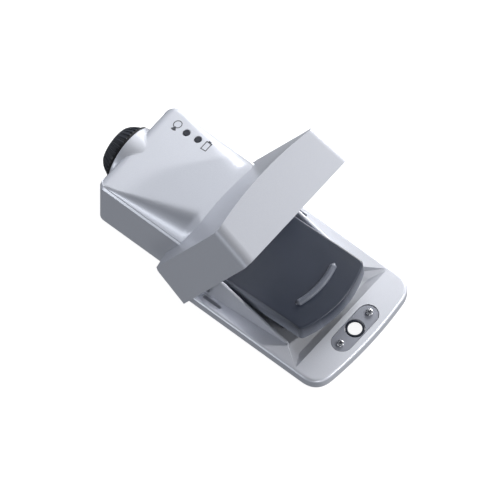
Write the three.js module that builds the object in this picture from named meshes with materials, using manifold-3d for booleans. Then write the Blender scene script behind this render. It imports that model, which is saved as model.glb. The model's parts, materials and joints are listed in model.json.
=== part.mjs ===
// Wireless single-pedal foot switch with a protective hood, in millimetres.
// x runs to the right, y rearwards from the middle of the front edge, z up from the floor.
// The root group then moves the origin to the middle of the footprint.
import * as THREE from "three";
import { mergeVertices } from "three/addons/utils/BufferGeometryUtils.js";
import { ConvexGeometry } from "three/addons/geometries/ConvexGeometry.js";
import Module from "manifold-3d";

const wasm = await Module();
wasm.setup();

// Overall
const LENGTH = 250;
const GAP = 0.3;
const UNDERSIDE = 1.5;
const FAR = 400;

// Platform in front, under the pedal and the hood
const PLATFORM_HALF = 58;
const PLATFORM_TOP = 11;
const PLATFORM_END = 152;
const PLATFORM_BEVEL = 3;
const CORNER_START = 20;
const FRONT_BOW = 0.0014;
const BOW_HALF = 43;
const BASIN_FLOOR = 4.6;
const BASIN_FRONT = 28;
const BASIN_FLOOR_FRONT = 36;
const TRENCH_HALF = 41.5;
const FIN_TIP = 46;
const FIN_SLOPE = 0.333;
const FIN_TOP = 2;
const FIN_FOOT = 8.1;
const SLOT_X = 51.5;
const SLOT_FROM = 104.6;
const SLOT_TO = 122;
const SLOT_RADIUS = 1.3;

// Rear housing
const HOUSING_HALF = 45.4;
const HOUSING_FRONT = 134;
const HOUSING_REAR = 231.5;
const RIDGE = 49;
const ROOF_Y = 142;
const ROOF_Z = 71;
const ROOF_FALL = 0.2278;
const ROOF_TILT = Math.atan(ROOF_FALL);
const FLAT_FRONT_HALF = 33;
const FLAT_REAR_HALF = 44;
const WALL = 3;
const CAVITY_HALF = 41.2;
const REBATE_HALF = 43.2;
const REBATE_TOP = 3.9;
const PLATE_THICK = 1.5;
const POST_RADIUS = 4.5;
const POST_TOP = 16;
const POST_X = 37.4;
const POST_Y = [142.5, 223.5];
const POST_HOLE = 1.8;

// Battery compartment
const BATTERY_Z = 27.6;
const BOSS_RADIUS = 24.8;
const BOSS_START = 215;
const BOSS_END = 237.5;
const WEB_START = 224;
const WEB_HALF = 22;
const WEB_END = 236.6;
const BORE_RADIUS = 20.6;
const BORE_DEPTH = 12;
const TUBE_RADIUS = 19.4;
const TUBE_FRONT = 166;
const TUBE_END = 229.6;
const CELL_RADIUS = 16.9;
const CELL_FRONT = 170.5;
const CELL_END = 231;
const SPIGOT_START = 230;
const SPIGOT_INNER = 17.8;
const SEAL_FRONT = 237.6;
const SEAL_END = 239.2;
const CAP_FRONT = 239.4;
const CAP_RADIUS = 22.2;
const CAP_STRAIGHT_END = 241.4;
const CAP_SHOULDER = [18.2, 248.6];
const CAP_FACE_RADIUS = 16.4;
const CAP_RIBS = 32;
const CAP_RIB_DEPTH = 0.9;
const COIN_SLOT = { half: 12, width: 3, depth: 2.5 };

// Hanging eye in the front plateau
const EYE_Y = 14.8;
const EYE_PLATE_HALF = 23.8;
const EYE_PLATE_RADIUS = 8.5;
const EYE_RECESS = 1.5;
const EYE_PLATE_THICK = 1;
const EYE_HOLE_RADIUS = 7.8;
const EYE_INNER_RADIUS = 5.6;
const EYE_RING_BOTTOM = 8.3;
const EYE_POCKET_RADIUS = 12.5;
const EYE_POCKET_TOP = 8;
const EYE_SCREW_X = 17.4;
const EYE_SCREW_HOLE = 1.8;

// Hood: v runs up its back panel, w forwards and down through its depth
const HOOD_HEEL_Y = 162.4;
const HOOD_HEEL_Z = 19.8;
const HOOD_LEAN = THREE.MathUtils.degToRad(25.25);
const HOOD_HEIGHT = 143;
const HOOD_DEPTH = 35.3;
const HOOD_TOE = -3.7;
const HOOD_BACK_HALF = 60;
const HOOD_FRONT_HALF = 62.5;
const HOOD_BULGE = 5.5;
const HOOD_CORNER = 6;
const HOOD_WALL = 3;
const HOOD_FALL = 0.6;
const HEEL_CUT = 3;
const FLANGE_INNER = 51;
const FLANGE_BOTTOM = 11.3;
const FLANGE_THICK = 3;
const HOOD_SCREW_X = 54.5;
const HOOD_SCREW_Y = [133, 144];
const HOOD_SCREW_HOLE = 2;

// Pedal, drawn flat about its pivot and then tilted up at the front
const PIVOT_Y = 122;
const PIVOT_Z = 20;
const PEDAL_TILT = THREE.MathUtils.degToRad(5.6);
const PEDAL_HALF = 38;
const PEDAL_REAR = 7;
const PEDAL_CORNER = -85.6;
const PEDAL_NOSE_RADIUS = 86.4;
const PEDAL_NOSE = -94.4;
const PEDAL_TOP = 9.2;
const PEDAL_SKIRT = 15;
const PEDAL_SKIN = 3;
const PEDAL_EDGE = 2;
const RIB_RADIUS = 65.4;
const RIB_HALF_X = 21.5;
const RIB_WIDTH = 4;
const RIB_HEIGHT = 1.8;
const EAR_RADIUS = 6;
const EAR_INNER = 30;
const PIN_RADIUS = 2.5;
const PIN_HALF = 50;
const PIN_HOLE_RADIUS = 2.8;
const BUSH_RADIUS = 4;

// Under the pedal
const SPRING_X = 22;
const SPRING_Y = 74;
const SPRING_TOP = 30.4;
const BUFFER_X = 28;
const BUFFER_Y = 60;
const BUFFER_TOP = 12.4;
const SWITCH_HALF = 13;
const SWITCH_FRONT = 92;
const SWITCH_REAR = 112;
const SWITCH_TOP = 19;
const SWITCH_TAB = 8;
const SWITCH_SCREW_X = 7;
const SWITCH_SCREW_Y = 108;
const SWITCH_SCREW_HOLE = 1.5;
const WELL_FLOOR = 11.8;
const PLUNGER_Y = 98;
const PLUNGER_RADIUS = 4;
const PLUNGER_BASE = 15.2;
const PLUNGER_TIP = 27.6;
const GLAND_Z = 11.6;
const GLAND_RADIUS = 3.7;
const LEAD_RADIUS = 1.4;

// Electronics, measured along and down from the roof's outer face
const BOARD_TOP = -6;
const BOARD_THICK = 1.6;
const BOARD_FROM = 10;
const BOARD_TO = 70;
const BOARD_LEFT = -28;
const BOARD_RIGHT = 32.5;
const WINDOW_X = 30.5;
const WINDOW_RADIUS = 3.2;
const WINDOW_ALONG = { radio: 65.3, battery: 53.7 };
const BOARD_POST_RADIUS = 2.8;
const BOARD_POST_HOLE = 1.2;
const BOARD_POSTS = [
  [-23, 15],
  [27, 15],
  [-24, 65],
];

// ---- geometry helpers ----

function solid(geometry) {
  const bare = geometry.clone();
  bare.deleteAttribute("normal");
  bare.deleteAttribute("uv");
  const merged = mergeVertices(bare, 1e-4);
  const index = merged.index.array;
  return new wasm.Manifold(
    new wasm.Mesh({
      numProp: 3,
      vertProperties: merged.attributes.position.array,
      triVerts: new Uint32Array(index),
    }),
  );
}

function geometryOf(made) {
  const mesh = made.getMesh();
  const geometry = new THREE.BufferGeometry();
  geometry.setAttribute("position", new THREE.BufferAttribute(mesh.vertProperties, 3));
  geometry.setIndex(new THREE.BufferAttribute(mesh.triVerts, 1));
  geometry.computeVertexNormals();
  return geometry;
}

function block(x0, x1, y0, y1, z0, z1) {
  const geometry = new THREE.BoxGeometry(x1 - x0, y1 - y0, z1 - z0);
  return geometry.translate((x0 + x1) / 2, (y0 + y1) / 2, (z0 + z1) / 2);
}

function rodZ(radius, x, y, z0, z1, sides = 24) {
  const geometry = new THREE.CylinderGeometry(radius, radius, z1 - z0, sides);
  return geometry.rotateX(Math.PI / 2).translate(x, y, (z0 + z1) / 2);
}

function rodY(radius, x, z, y0, y1, sides = 32) {
  const geometry = new THREE.CylinderGeometry(radius, radius, y1 - y0, sides);
  return geometry.translate(x, (y0 + y1) / 2, z);
}

function rodX(radius, y, z, x0, x1, sides = 24) {
  const geometry = new THREE.CylinderGeometry(radius, radius, x1 - x0, sides);
  return geometry.rotateZ(Math.PI / 2).translate((x0 + x1) / 2, y, z);
}

function hull(points) {
  return new ConvexGeometry(points.map(([x, y, z]) => new THREE.Vector3(x, y, z)));
}

// A profile of [radius, height] pairs turned about z; it starts and ends on the axis or closes.
function turned(profile, sides = 24) {
  const points = profile.map(([radius, height]) => new THREE.Vector2(radius, height));
  return new THREE.LatheGeometry(points, sides).rotateX(Math.PI / 2);
}

function ring(outer, inner, from, to, sides = 32) {
  return turned([[inner, from], [outer, from], [outer, to], [inner, to], [inner, from]], sides);
}

function slabZ(shape, z0, z1, curveSegments = 6) {
  const options = { depth: z1 - z0, bevelEnabled: false, curveSegments };
  return new THREE.ExtrudeGeometry(shape, options).translate(0, 0, z0);
}

function stadium(halfLength, radius) {
  const shape = new THREE.Shape();
  const reach = halfLength - radius;
  shape.absarc(reach, 0, radius, -Math.PI / 2, Math.PI / 2, false);
  shape.absarc(-reach, 0, radius, Math.PI / 2, Math.PI * 1.5, false);
  shape.closePath();
  return shape;
}

function helix(radius, wire, from, to, turns, stepsPerTurn = 10) {
  const points = [];
  const steps = turns * stepsPerTurn;
  for (let i = 0; i <= steps; i += 1) {
    const angle = (i / stepsPerTurn) * Math.PI * 2;
    const height = from + wire + ((to - from - 2 * wire) * i) / steps;
    points.push(new THREE.Vector3(radius * Math.cos(angle), radius * Math.sin(angle), height));
  }
  return along(new THREE.CatmullRomCurve3(points), wire, steps, 5);
}

function along(path, radius, steps, sides = 8) {
  const section = new THREE.Shape();
  for (let i = 0; i < sides; i += 1) {
    const angle = (i / sides) * Math.PI * 2;
    const x = radius * Math.cos(angle);
    const y = radius * Math.sin(angle);
    if (i === 0) section.moveTo(x, y);
    else section.lineTo(x, y);
  }
  section.closePath();
  return new THREE.ExtrudeGeometry(section, { steps, extrudePath: path, bevelEnabled: false });
}

function mirrored(x) {
  return [-x, x];
}

const sideName = (x) => (x < 0 ? "left" : "right");

// ---- materials ----

function finish(color, roughness, metalness) {
  return new THREE.MeshStandardMaterial({ color, roughness, metalness });
}

const silverPaint = () => finish(0xc3c6cf, 0.42, 0.35);
const pedalPlastic = () => finish(0x3c4250, 0.55, 0);
const blackPlastic = () => finish(0x1b1d22, 0.5, 0);
const blackRubber = () => finish(0x161719, 0.85, 0);
const greyPlate = () => finish(0x8b8d99, 0.45, 0.3);
const brightSteel = () => finish(0xc9cbce, 0.25, 1);
const springSteel = () => finish(0x9da0a5, 0.35, 1);
const brassMetal = () => finish(0xb08d4c, 0.35, 1);
const boardGreen = () => finish(0x1f5a38, 0.5, 0);
const smokedLens = () => finish(0x2a2c33, 0.2, 0);
const cellWrap = () => finish(0x2f4f86, 0.4, 0.1);
const sinteredBronze = () => finish(0x8a6a3e, 0.5, 0.8);

const parts = new THREE.Group();

function add(name, shape, material, parent = parts) {
  const geometry = shape instanceof THREE.BufferGeometry ? shape : geometryOf(shape);
  const mesh = new THREE.Mesh(geometry, material);
  mesh.name = name;
  parent.add(mesh);
  return mesh;
}

// ---- shared shapes ----

function roofZ(y) {
  return ROOF_Z - ROOF_FALL * (y - ROOF_Y);
}

function flatHalf(y) {
  const share = (y - HOUSING_FRONT) / (HOUSING_REAR - HOUSING_FRONT);
  return THREE.MathUtils.lerp(FLAT_FRONT_HALF, FLAT_REAR_HALF, share);
}

// The housing's outline as a hull: straight walls, a roof that climbs to the front, sloping shoulders.
function housingHull(grow, bottom) {
  const points = [];
  const rearCorners = [
    [HOUSING_HALF, HOUSING_REAR - 3.5],
    [HOUSING_HALF - 1.2, HOUSING_REAR - 1],
    [HOUSING_HALF - 3.6, HOUSING_REAR],
  ];
  for (const side of [-1, 1]) {
    const wall = side * (HOUSING_HALF + grow);
    const front = HOUSING_FRONT - grow;
    const shoulder = side * (FLAT_FRONT_HALF + grow);
    points.push([wall, front, bottom], [wall, front, RIDGE + grow]);
    points.push([shoulder, front, roofZ(front) + grow]);
    for (const [x, y] of rearCorners) {
      points.push([side * (x + grow), y + grow, bottom]);
      points.push([side * (x + grow), y + grow, RIDGE + grow]);
      points.push([side * (x - 1.4 + grow), y - 1.2 + grow, roofZ(y) + grow]);
    }
  }
  return hull(points);
}

// The hollow inside the housing, which follows its outer shape.
function housingCavity() {
  const points = [];
  const front = HOUSING_FRONT + WALL;
  const rear = HOUSING_REAR - WALL;
  const bottom = UNDERSIDE - 1;
  for (const side of [-1, 1]) {
    points.push([side * CAVITY_HALF, front, bottom], [side * CAVITY_HALF, rear, bottom]);
    points.push([side * CAVITY_HALF, front, RIDGE - 4], [side * CAVITY_HALF, rear, RIDGE - 4]);
    points.push([side * (flatHalf(front) - 3.2), front, roofZ(front) - WALL]);
    points.push([side * (flatHalf(rear) - 4), rear, roofZ(rear) - WALL]);
  }
  return hull(points);
}

function hoodPoint(x, v, w) {
  const y = HOOD_HEEL_Y - Math.sin(HOOD_LEAN) * v - Math.cos(HOOD_LEAN) * w;
  const z = HOOD_HEEL_Z + Math.cos(HOOD_LEAN) * v - Math.sin(HOOD_LEAN) * w;
  return [x, y, z];
}

// One outline of the arch at depth w: up one side, round the corners, across the top.
function archPoints(half, bottom, top, radius, depthAt) {
  const points = [];
  const cornerSteps = 5;
  const topSteps = 10;
  for (const side of [-1, 1]) {
    points.push(hoodPoint(side * half, bottom, depthAt(half)));
    for (let i = 0; i <= cornerSteps; i += 1) {
      const angle = (i / cornerSteps) * (Math.PI / 2);
      const x = half - radius + radius * Math.cos(angle);
      const v = top - radius + radius * Math.sin(angle);
      points.push(hoodPoint(side * x, v, depthAt(x)));
    }
  }
  for (let i = 1; i < topSteps; i += 1) {
    const x = (half - radius) * ((2 * i) / topSteps - 1);
    points.push(hoodPoint(x, top, depthAt(x)), hoodPoint(x, bottom, depthAt(x)));
  }
  return points;
}

// ---- body casting ----

function platformShape() {
  const shape = new THREE.Shape();
  const bowY = FRONT_BOW * BOW_HALF ** 2;
  const cornerY = FRONT_BOW * PLATFORM_HALF ** 2;
  shape.moveTo(-PLATFORM_HALF, PLATFORM_END - 6);
  shape.lineTo(-PLATFORM_HALF, CORNER_START);
  shape.quadraticCurveTo(-PLATFORM_HALF, cornerY, -BOW_HALF, bowY);
  shape.quadraticCurveTo(0, -bowY, BOW_HALF, bowY);
  shape.quadraticCurveTo(PLATFORM_HALF, cornerY, PLATFORM_HALF, CORNER_START);
  shape.lineTo(PLATFORM_HALF, PLATFORM_END - 6);
  shape.lineTo(PLATFORM_HALF - 6, PLATFORM_END);
  shape.lineTo(6 - PLATFORM_HALF, PLATFORM_END);
  shape.closePath();
  return shape;
}

function platformSlab() {
  const buried = 4;
  const options = {
    depth: PLATFORM_TOP - UNDERSIDE + buried - 2 * PLATFORM_BEVEL,
    bevelThickness: PLATFORM_BEVEL,
    bevelSize: PLATFORM_BEVEL,
    bevelOffset: -PLATFORM_BEVEL,
    bevelSegments: 2,
    curveSegments: 6,
  };
  const slab = new THREE.ExtrudeGeometry(platformShape(), options);
  slab.translate(0, 0, UNDERSIDE - buried + PLATFORM_BEVEL);
  const below = block(-FAR, FAR, -FAR, FAR, UNDERSIDE - 2 * buried, UNDERSIDE);
  return solid(slab).subtract(solid(below));
}

function lerpTo(a, b, z) {
  const share = (z - a[2]) / (b[2] - a[2]);
  return a.map((value, axis) => value + (b[axis] - value) * share);
}

// The basin in front of the trench: its front slope and the facets that die out at the rims.
function basinWedge() {
  const points = [];
  const above = PLATFORM_TOP + 1;
  for (const side of [-1, 1]) {
    const lowFront = [side * TRENCH_HALF, BASIN_FLOOR_FRONT, BASIN_FLOOR];
    const lowRear = [side * TRENCH_HALF, FIN_TIP, BASIN_FLOOR];
    const rimFront = [side * (PLATFORM_HALF - 3.4), BASIN_FRONT, PLATFORM_TOP];
    const rimRear = [side * (TRENCH_HALF + 2.1), FIN_TIP, PLATFORM_TOP];
    points.push(lowFront, lowRear);
    points.push(lerpTo(lowFront, rimFront, above), lerpTo(lowRear, rimRear, above));
  }
  return hull(points);
}

// A cheek beside the pedal: a low wall that climbs to the rear, upright inside and sloping outside.
function fin(side) {
  const rear = HOUSING_FRONT + 1;
  const buried = PLATFORM_TOP - 3;
  const rearTop = PLATFORM_TOP + FIN_SLOPE * (rear - FIN_TIP);
  const inner = side * TRENCH_HALF;
  const crest = side * (TRENCH_HALF + FIN_TOP);
  const foot = side * (TRENCH_HALF + FIN_FOOT);
  return hull([
    [inner, FIN_TIP, buried],
    [crest, FIN_TIP, buried],
    [inner, FIN_TIP, PLATFORM_TOP],
    [crest, FIN_TIP, PLATFORM_TOP],
    [inner, rear, buried],
    [foot, rear, buried],
    [foot, rear, PLATFORM_TOP],
    [crest, rear, rearTop],
    [inner, rear, rearTop],
  ]);
}

function roofFrame(geometry) {
  return geometry.rotateX(-ROOF_TILT).translate(0, ROOF_Y, ROOF_Z);
}

function drainSlot(x) {
  const length = (SLOT_TO - SLOT_FROM) / 2;
  const slot = slabZ(stadium(length, SLOT_RADIUS), -1, PLATFORM_TOP + 1);
  return slot.rotateZ(Math.PI / 2).translate(x, (SLOT_FROM + SLOT_TO) / 2, 0);
}

// The roof runs down over the boss without a step.
function bossWeb() {
  const points = [];
  for (const x of mirrored(WEB_HALF)) {
    points.push([x, WEB_START, roofZ(WEB_START) - 0.2], [x, WEB_START, BATTERY_Z]);
  }
  const steps = 16;
  for (let i = 0; i <= steps; i += 1) {
    const angle = (Math.PI * i) / steps;
    const reach = BOSS_RADIUS - 0.1;
    points.push([reach * Math.cos(angle), WEB_END, BATTERY_Z + reach * Math.sin(angle)]);
  }
  return hull(points);
}

function bodyCasting() {
  let body = platformSlab();
  body = body.subtract(solid(basinWedge()));
  body = body.subtract(
    solid(block(-TRENCH_HALF, TRENCH_HALF, BASIN_FLOOR_FRONT, HOUSING_FRONT, BASIN_FLOOR, 20)),
  );
  body = body.add(solid(housingHull(0, UNDERSIDE)));
  body = body.add(solid(rodY(BOSS_RADIUS, 0, BATTERY_Z, BOSS_START, BOSS_END, 48))).add(solid(bossWeb()));
  for (const side of [-1, 1]) body = body.add(solid(fin(side)));
  body = body.subtract(solid(housingCavity()));
  const rebate = REBATE_HALF - CAVITY_HALF;
  const rebateBox = block(
    -REBATE_HALF, REBATE_HALF,
    HOUSING_FRONT + WALL - rebate, HOUSING_REAR - WALL + 1,
    UNDERSIDE - 1, REBATE_TOP,
  );
  body = body.subtract(solid(rebateBox));
  for (const x of mirrored(POST_X)) {
    for (const y of POST_Y) {
      body = body.add(solid(rodZ(POST_RADIUS, x, y, REBATE_TOP, POST_TOP)));
      body = body.subtract(solid(rodZ(POST_HOLE, x, y, 0, POST_TOP - 3, 16)));
    }
  }
  for (const [x, y] of BOARD_POSTS) {
    const post = rodZ(BOARD_POST_RADIUS, x, y, BOARD_TOP + 0.05, 1 - WALL, 16);
    body = body.add(solid(roofFrame(post)));
    body = body.subtract(solid(roofFrame(rodZ(BOARD_POST_HOLE, x, y, -20, -WALL / 2, 12))));
  }
  for (const y of Object.values(WINDOW_ALONG)) {
    body = body.subtract(solid(roofFrame(rodZ(WINDOW_RADIUS, WINDOW_X, y, -8, 4, 20))));
  }
  const boreStart = HOUSING_REAR - BORE_DEPTH;
  const tubeHole = rodY(TUBE_RADIUS + GAP, 0, BATTERY_Z, TUBE_FRONT - WALL, HOUSING_REAR, 32);
  const glandHole = rodY(GLAND_RADIUS + GAP, 0, GLAND_Z, HOUSING_FRONT - 1, HOUSING_FRONT + 5, 16);
  body = body.subtract(solid(rodY(BORE_RADIUS, 0, BATTERY_Z, boreStart, FAR, 40)));
  body = body.subtract(solid(tubeHole)).subtract(solid(glandHole));
  body = body.subtract(solid(rodX(PIN_HOLE_RADIUS, PIVOT_Y, PIVOT_Z, -FAR, FAR, 20)));
  for (const x of mirrored(SLOT_X)) body = body.subtract(solid(drainSlot(x)));
  for (const x of mirrored(HOOD_SCREW_X)) {
    for (const y of HOOD_SCREW_Y) {
      body = body.subtract(solid(rodZ(HOOD_SCREW_HOLE, x, y, BASIN_FLOOR - 1, 20, 16)));
    }
  }
  const recess = slabZ(stadium(EYE_PLATE_HALF + GAP, EYE_PLATE_RADIUS + GAP), 0, 10);
  body = body.subtract(solid(recess.translate(0, EYE_Y, PLATFORM_TOP - EYE_RECESS)));
  body = body.subtract(solid(rodZ(EYE_HOLE_RADIUS, 0, EYE_Y, -1, 20, 32)));
  body = body.subtract(solid(rodZ(EYE_POCKET_RADIUS, 0, EYE_Y, -1, EYE_POCKET_TOP, 32)));
  for (const x of mirrored(EYE_SCREW_X)) {
    body = body.subtract(solid(rodZ(EYE_SCREW_HOLE, x, EYE_Y, 3, 20, 16)));
  }
  for (const x of mirrored(SWITCH_SCREW_X)) {
    const hole = rodZ(SWITCH_SCREW_HOLE, x, SWITCH_SCREW_Y, BASIN_FLOOR - 2.2, BASIN_FLOOR + 1, 12);
    body = body.subtract(solid(hole));
  }
  return body;
}

// ---- floor closure and feet ----

function bottomPlate() {
  const half = REBATE_HALF - GAP;
  const front = HOUSING_FRONT + WALL - (REBATE_HALF - CAVITY_HALF) + GAP;
  const rear = HOUSING_REAR - WALL + 1 - GAP;
  let plate = solid(block(-half, half, front, rear, UNDERSIDE, UNDERSIDE + PLATE_THICK));
  for (const x of mirrored(POST_X)) {
    for (const y of POST_Y) plate = plate.subtract(solid(rodZ(POST_HOLE, x, y, 0, 10, 16)));
  }
  return plate;
}

function plateGasket() {
  const half = REBATE_HALF - GAP;
  const rebate = REBATE_HALF - CAVITY_HALF;
  const front = HOUSING_FRONT + WALL;
  const rear = HOUSING_REAR - WALL;
  const bottom = UNDERSIDE + PLATE_THICK + 0.05;
  const outer = block(-half, half, front - rebate + GAP, rear + 1 - GAP, bottom, REBATE_TOP - 0.05);
  const inner = block(-half + 2, half - 2, front + 0.4, rear - 0.9, 0, 10);
  return solid(outer).subtract(solid(inner));
}

function screw(headRadius, headHeight, shankRadius, shankLength) {
  const socket = headRadius * 0.45;
  const profile = [
    [0, -shankLength],
    [shankRadius, -shankLength],
    [shankRadius, 0],
    [headRadius, 0],
    [headRadius, headHeight * 0.6],
    [headRadius * 0.75, headHeight],
    [socket, headHeight],
    [socket, headHeight * 0.4],
    [0, headHeight * 0.4],
  ];
  return turned(profile, 10);
}

function addFloorParts() {
  add("bottom_plate", bottomPlate(), brightSteel());
  add("plate_gasket", plateGasket(), blackRubber());
  let count = 1;
  for (const y of POST_Y) {
    for (const x of mirrored(POST_X)) {
      const fixing = add(`plate_screw_${count}`, screw(2.8, 1.2, 1.4, 10), brightSteel());
      fixing.rotation.x = Math.PI;
      fixing.position.set(x, y, UNDERSIDE);
      count += 1;
    }
  }
  for (const [end, x, y] of [["front", 46, 24], ["rear", 32, 200]]) {
    for (const side of mirrored(x)) {
      const foot = turned([[0, 0], [5.6, 0], [7, UNDERSIDE * 0.6], [7, UNDERSIDE], [0, UNDERSIDE]], 20);
      add(`${end}_${sideName(side)}_foot`, foot, blackRubber()).position.set(side, y, 0);
    }
  }
}

// ---- hood ----

function hoodShell() {
  const half = (x) => x / HOOD_BACK_HALF;
  const bulge = (x) => -HOOD_BULGE * (1 - half(x) ** 2);
  const frontTop = HOOD_HEIGHT - HOOD_FALL;
  const outer = [
    ...archPoints(HOOD_BACK_HALF, HEEL_CUT, HOOD_HEIGHT, HOOD_CORNER, bulge),
    ...archPoints(HOOD_BACK_HALF, -0.4, HOOD_HEIGHT, HOOD_CORNER, () => HEEL_CUT),
    ...archPoints(HOOD_FRONT_HALF, HOOD_TOE, frontTop, HOOD_CORNER, () => HOOD_DEPTH),
  ];
  const innerBulge = (x) => HOOD_WALL + bulge(x);
  const corner = HOOD_CORNER - HOOD_WALL;
  const below = -30;
  const beyond = () => HOOD_DEPTH + 2;
  const innerHalf = HOOD_FRONT_HALF - HOOD_WALL + 0.2;
  const inner = [
    ...archPoints(HOOD_BACK_HALF - HOOD_WALL, below, HOOD_HEIGHT - HOOD_WALL, corner, innerBulge),
    ...archPoints(innerHalf, below, frontTop - HOOD_WALL, corner, beyond),
  ];
  return solid(hull(outer)).subtract(solid(hull(inner)));
}

function hood() {
  let shell = hoodShell();
  for (const side of [-1, 1]) {
    const wall = side * (HOOD_FRONT_HALF - 2.2);
    const edge = side * FLANGE_INNER;
    const flange = block(
      Math.min(edge, wall), Math.max(edge, wall),
      HOOD_SCREW_Y[0] - 3.5, HOOD_SCREW_Y[1] + 3.5,
      FLANGE_BOTTOM, FLANGE_BOTTOM + FLANGE_THICK,
    );
    shell = shell.add(solid(flange));
    for (const y of HOOD_SCREW_Y) {
      shell = shell.subtract(solid(rodZ(HOOD_SCREW_HOLE, side * HOOD_SCREW_X, y, 5, 15, 16)));
    }
  }
  return shell.subtract(solid(housingHull(GAP, -5)));
}

function addHood() {
  add("hood", hood(), silverPaint());
  let count = 1;
  for (const x of mirrored(HOOD_SCREW_X)) {
    for (const y of HOOD_SCREW_Y) {
      const fixing = add(`hood_screw_${count}`, screw(3.2, 2.2, 1.7, 9), brightSteel());
      fixing.position.set(x, y, FLANGE_BOTTOM + FLANGE_THICK);
      count += 1;
    }
  }
}

// ---- hanging eye ----

function addEye() {
  const seat = PLATFORM_TOP - EYE_RECESS;
  let plate = solid(slabZ(stadium(EYE_PLATE_HALF, EYE_PLATE_RADIUS), 0, EYE_PLATE_THICK, 12));
  plate = plate.subtract(solid(rodZ(EYE_HOLE_RADIUS, 0, 0, -1, 5, 32)));
  for (const x of mirrored(EYE_SCREW_X)) {
    plate = plate.subtract(solid(rodZ(EYE_SCREW_HOLE, x, 0, -1, 5, 16)));
    const fixing = add(`eye_screw_${sideName(x)}`, screw(3, 2.1, 1.5, 7), brightSteel());
    fixing.position.set(x, EYE_Y, seat + EYE_PLATE_THICK);
  }
  add("eye_plate", plate, greyPlate()).position.set(0, EYE_Y, seat);
  const outer = EYE_HOLE_RADIUS - GAP;
  const top = PLATFORM_TOP - 0.2;
  const bushing = turned([
    [EYE_INNER_RADIUS + 1.3, EYE_RING_BOTTOM],
    [outer, EYE_RING_BOTTOM],
    [outer, top - 0.5],
    [outer - 0.5, top],
    [EYE_INNER_RADIUS + 0.5, top],
    [EYE_INNER_RADIUS, top - 0.5],
    [EYE_INNER_RADIUS, top - 0.9],
    [EYE_INNER_RADIUS + 1.3, EYE_RING_BOTTOM],
  ], 32);
  add("eye_ring", bushing, blackPlastic()).position.set(0, EYE_Y, 0);
}

// ---- pedal ----

function pedalOutline(inset) {
  const half = PEDAL_HALF - inset;
  const nose = PEDAL_NOSE_RADIUS - inset;
  const centre = PEDAL_NOSE + PEDAL_NOSE_RADIUS;
  const reach = half - 2.5;
  const sweep = Math.asin(reach / nose);
  const cornerY = centre - Math.sqrt(nose ** 2 - half ** 2);
  const shape = new THREE.Shape();
  shape.moveTo(half, PEDAL_REAR - inset);
  shape.lineTo(-half, PEDAL_REAR - inset);
  shape.lineTo(-half, cornerY + 3);
  shape.quadraticCurveTo(-half, cornerY, -reach, centre - nose * Math.cos(sweep));
  shape.absarc(0, centre, nose, -Math.PI / 2 - sweep, -Math.PI / 2 + sweep, false);
  shape.quadraticCurveTo(half, cornerY, half, cornerY + 3);
  shape.closePath();
  return shape;
}

function pedalShell() {
  const options = {
    depth: PEDAL_SKIRT + 4 - PEDAL_EDGE * 2,
    bevelThickness: PEDAL_EDGE,
    bevelSize: PEDAL_EDGE,
    bevelOffset: -PEDAL_EDGE,
    bevelSegments: 3,
    curveSegments: 12,
  };
  const outer = new THREE.ExtrudeGeometry(pedalOutline(0), options);
  outer.translate(0, 0, PEDAL_TOP - PEDAL_SKIRT - 4 + PEDAL_EDGE);
  const bottom = PEDAL_TOP - PEDAL_SKIRT;
  const below = block(-FAR, FAR, -FAR, FAR, bottom - 20, bottom);
  const cavity = slabZ(pedalOutline(2.5), bottom - 1, PEDAL_TOP - PEDAL_SKIN, 8);
  return solid(outer).subtract(solid(below)).subtract(solid(cavity));
}

function pedalRib() {
  const half = Math.asin(RIB_HALF_X / RIB_RADIUS);
  const from = -Math.PI / 2 - half;
  const to = -Math.PI / 2 + half;
  const outer = RIB_RADIUS + RIB_WIDTH / 2;
  const inner = RIB_RADIUS - RIB_WIDTH / 2;
  const cap = (angle, spin) => {
    const x = RIB_RADIUS * Math.cos(angle);
    const y = RIB_RADIUS * Math.sin(angle);
    return [x, y, RIB_WIDTH / 2, angle + spin, angle + spin + Math.PI, false];
  };
  const shape = new THREE.Shape();
  shape.absarc(0, 0, outer, from, to, false);
  shape.absarc(...cap(to, 0));
  shape.absarc(0, 0, inner, to, from, true);
  shape.absarc(...cap(from, Math.PI));
  const options = {
    depth: 1,
    bevelThickness: RIB_HEIGHT / 2,
    bevelSize: RIB_HEIGHT / 2,
    bevelOffset: -RIB_HEIGHT / 2,
    bevelSegments: 2,
    curveSegments: 8,
  };
  const rib = new THREE.ExtrudeGeometry(shape, options);
  const centre = PEDAL_NOSE + PEDAL_NOSE_RADIUS;
  return rib.translate(0, centre, PEDAL_TOP + RIB_HEIGHT / 2 - 1);
}

function pedal() {
  let shell = pedalShell().add(solid(pedalRib()));
  for (const side of [-1, 1]) {
    const from = Math.min(side * EAR_INNER, side * (PEDAL_HALF - 1));
    const to = Math.max(side * EAR_INNER, side * (PEDAL_HALF - 1));
    shell = shell.add(solid(rodX(EAR_RADIUS, 0, 0, from, to)));
    shell = shell.add(solid(block(from, to, -EAR_RADIUS, PEDAL_REAR - 1, 0, PEDAL_TOP - 1)));
  }
  return shell.subtract(solid(rodX(BUSH_RADIUS + GAP, 0, 0, -FAR, FAR)));
}

function bush(side) {
  const from = EAR_INNER + 0.5;
  const shoulder = PEDAL_HALF + 0.4;
  const bore = PIN_RADIUS + 0.06;
  const profile = [
    [bore, from],
    [BUSH_RADIUS, from],
    [BUSH_RADIUS, shoulder],
    [BUSH_RADIUS + 1.6, shoulder],
    [BUSH_RADIUS + 1.6, shoulder + 1.2],
    [bore, shoulder + 1.2],
    [bore, from],
  ];
  return turned(profile, 24).rotateY(side * Math.PI / 2);
}

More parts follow.
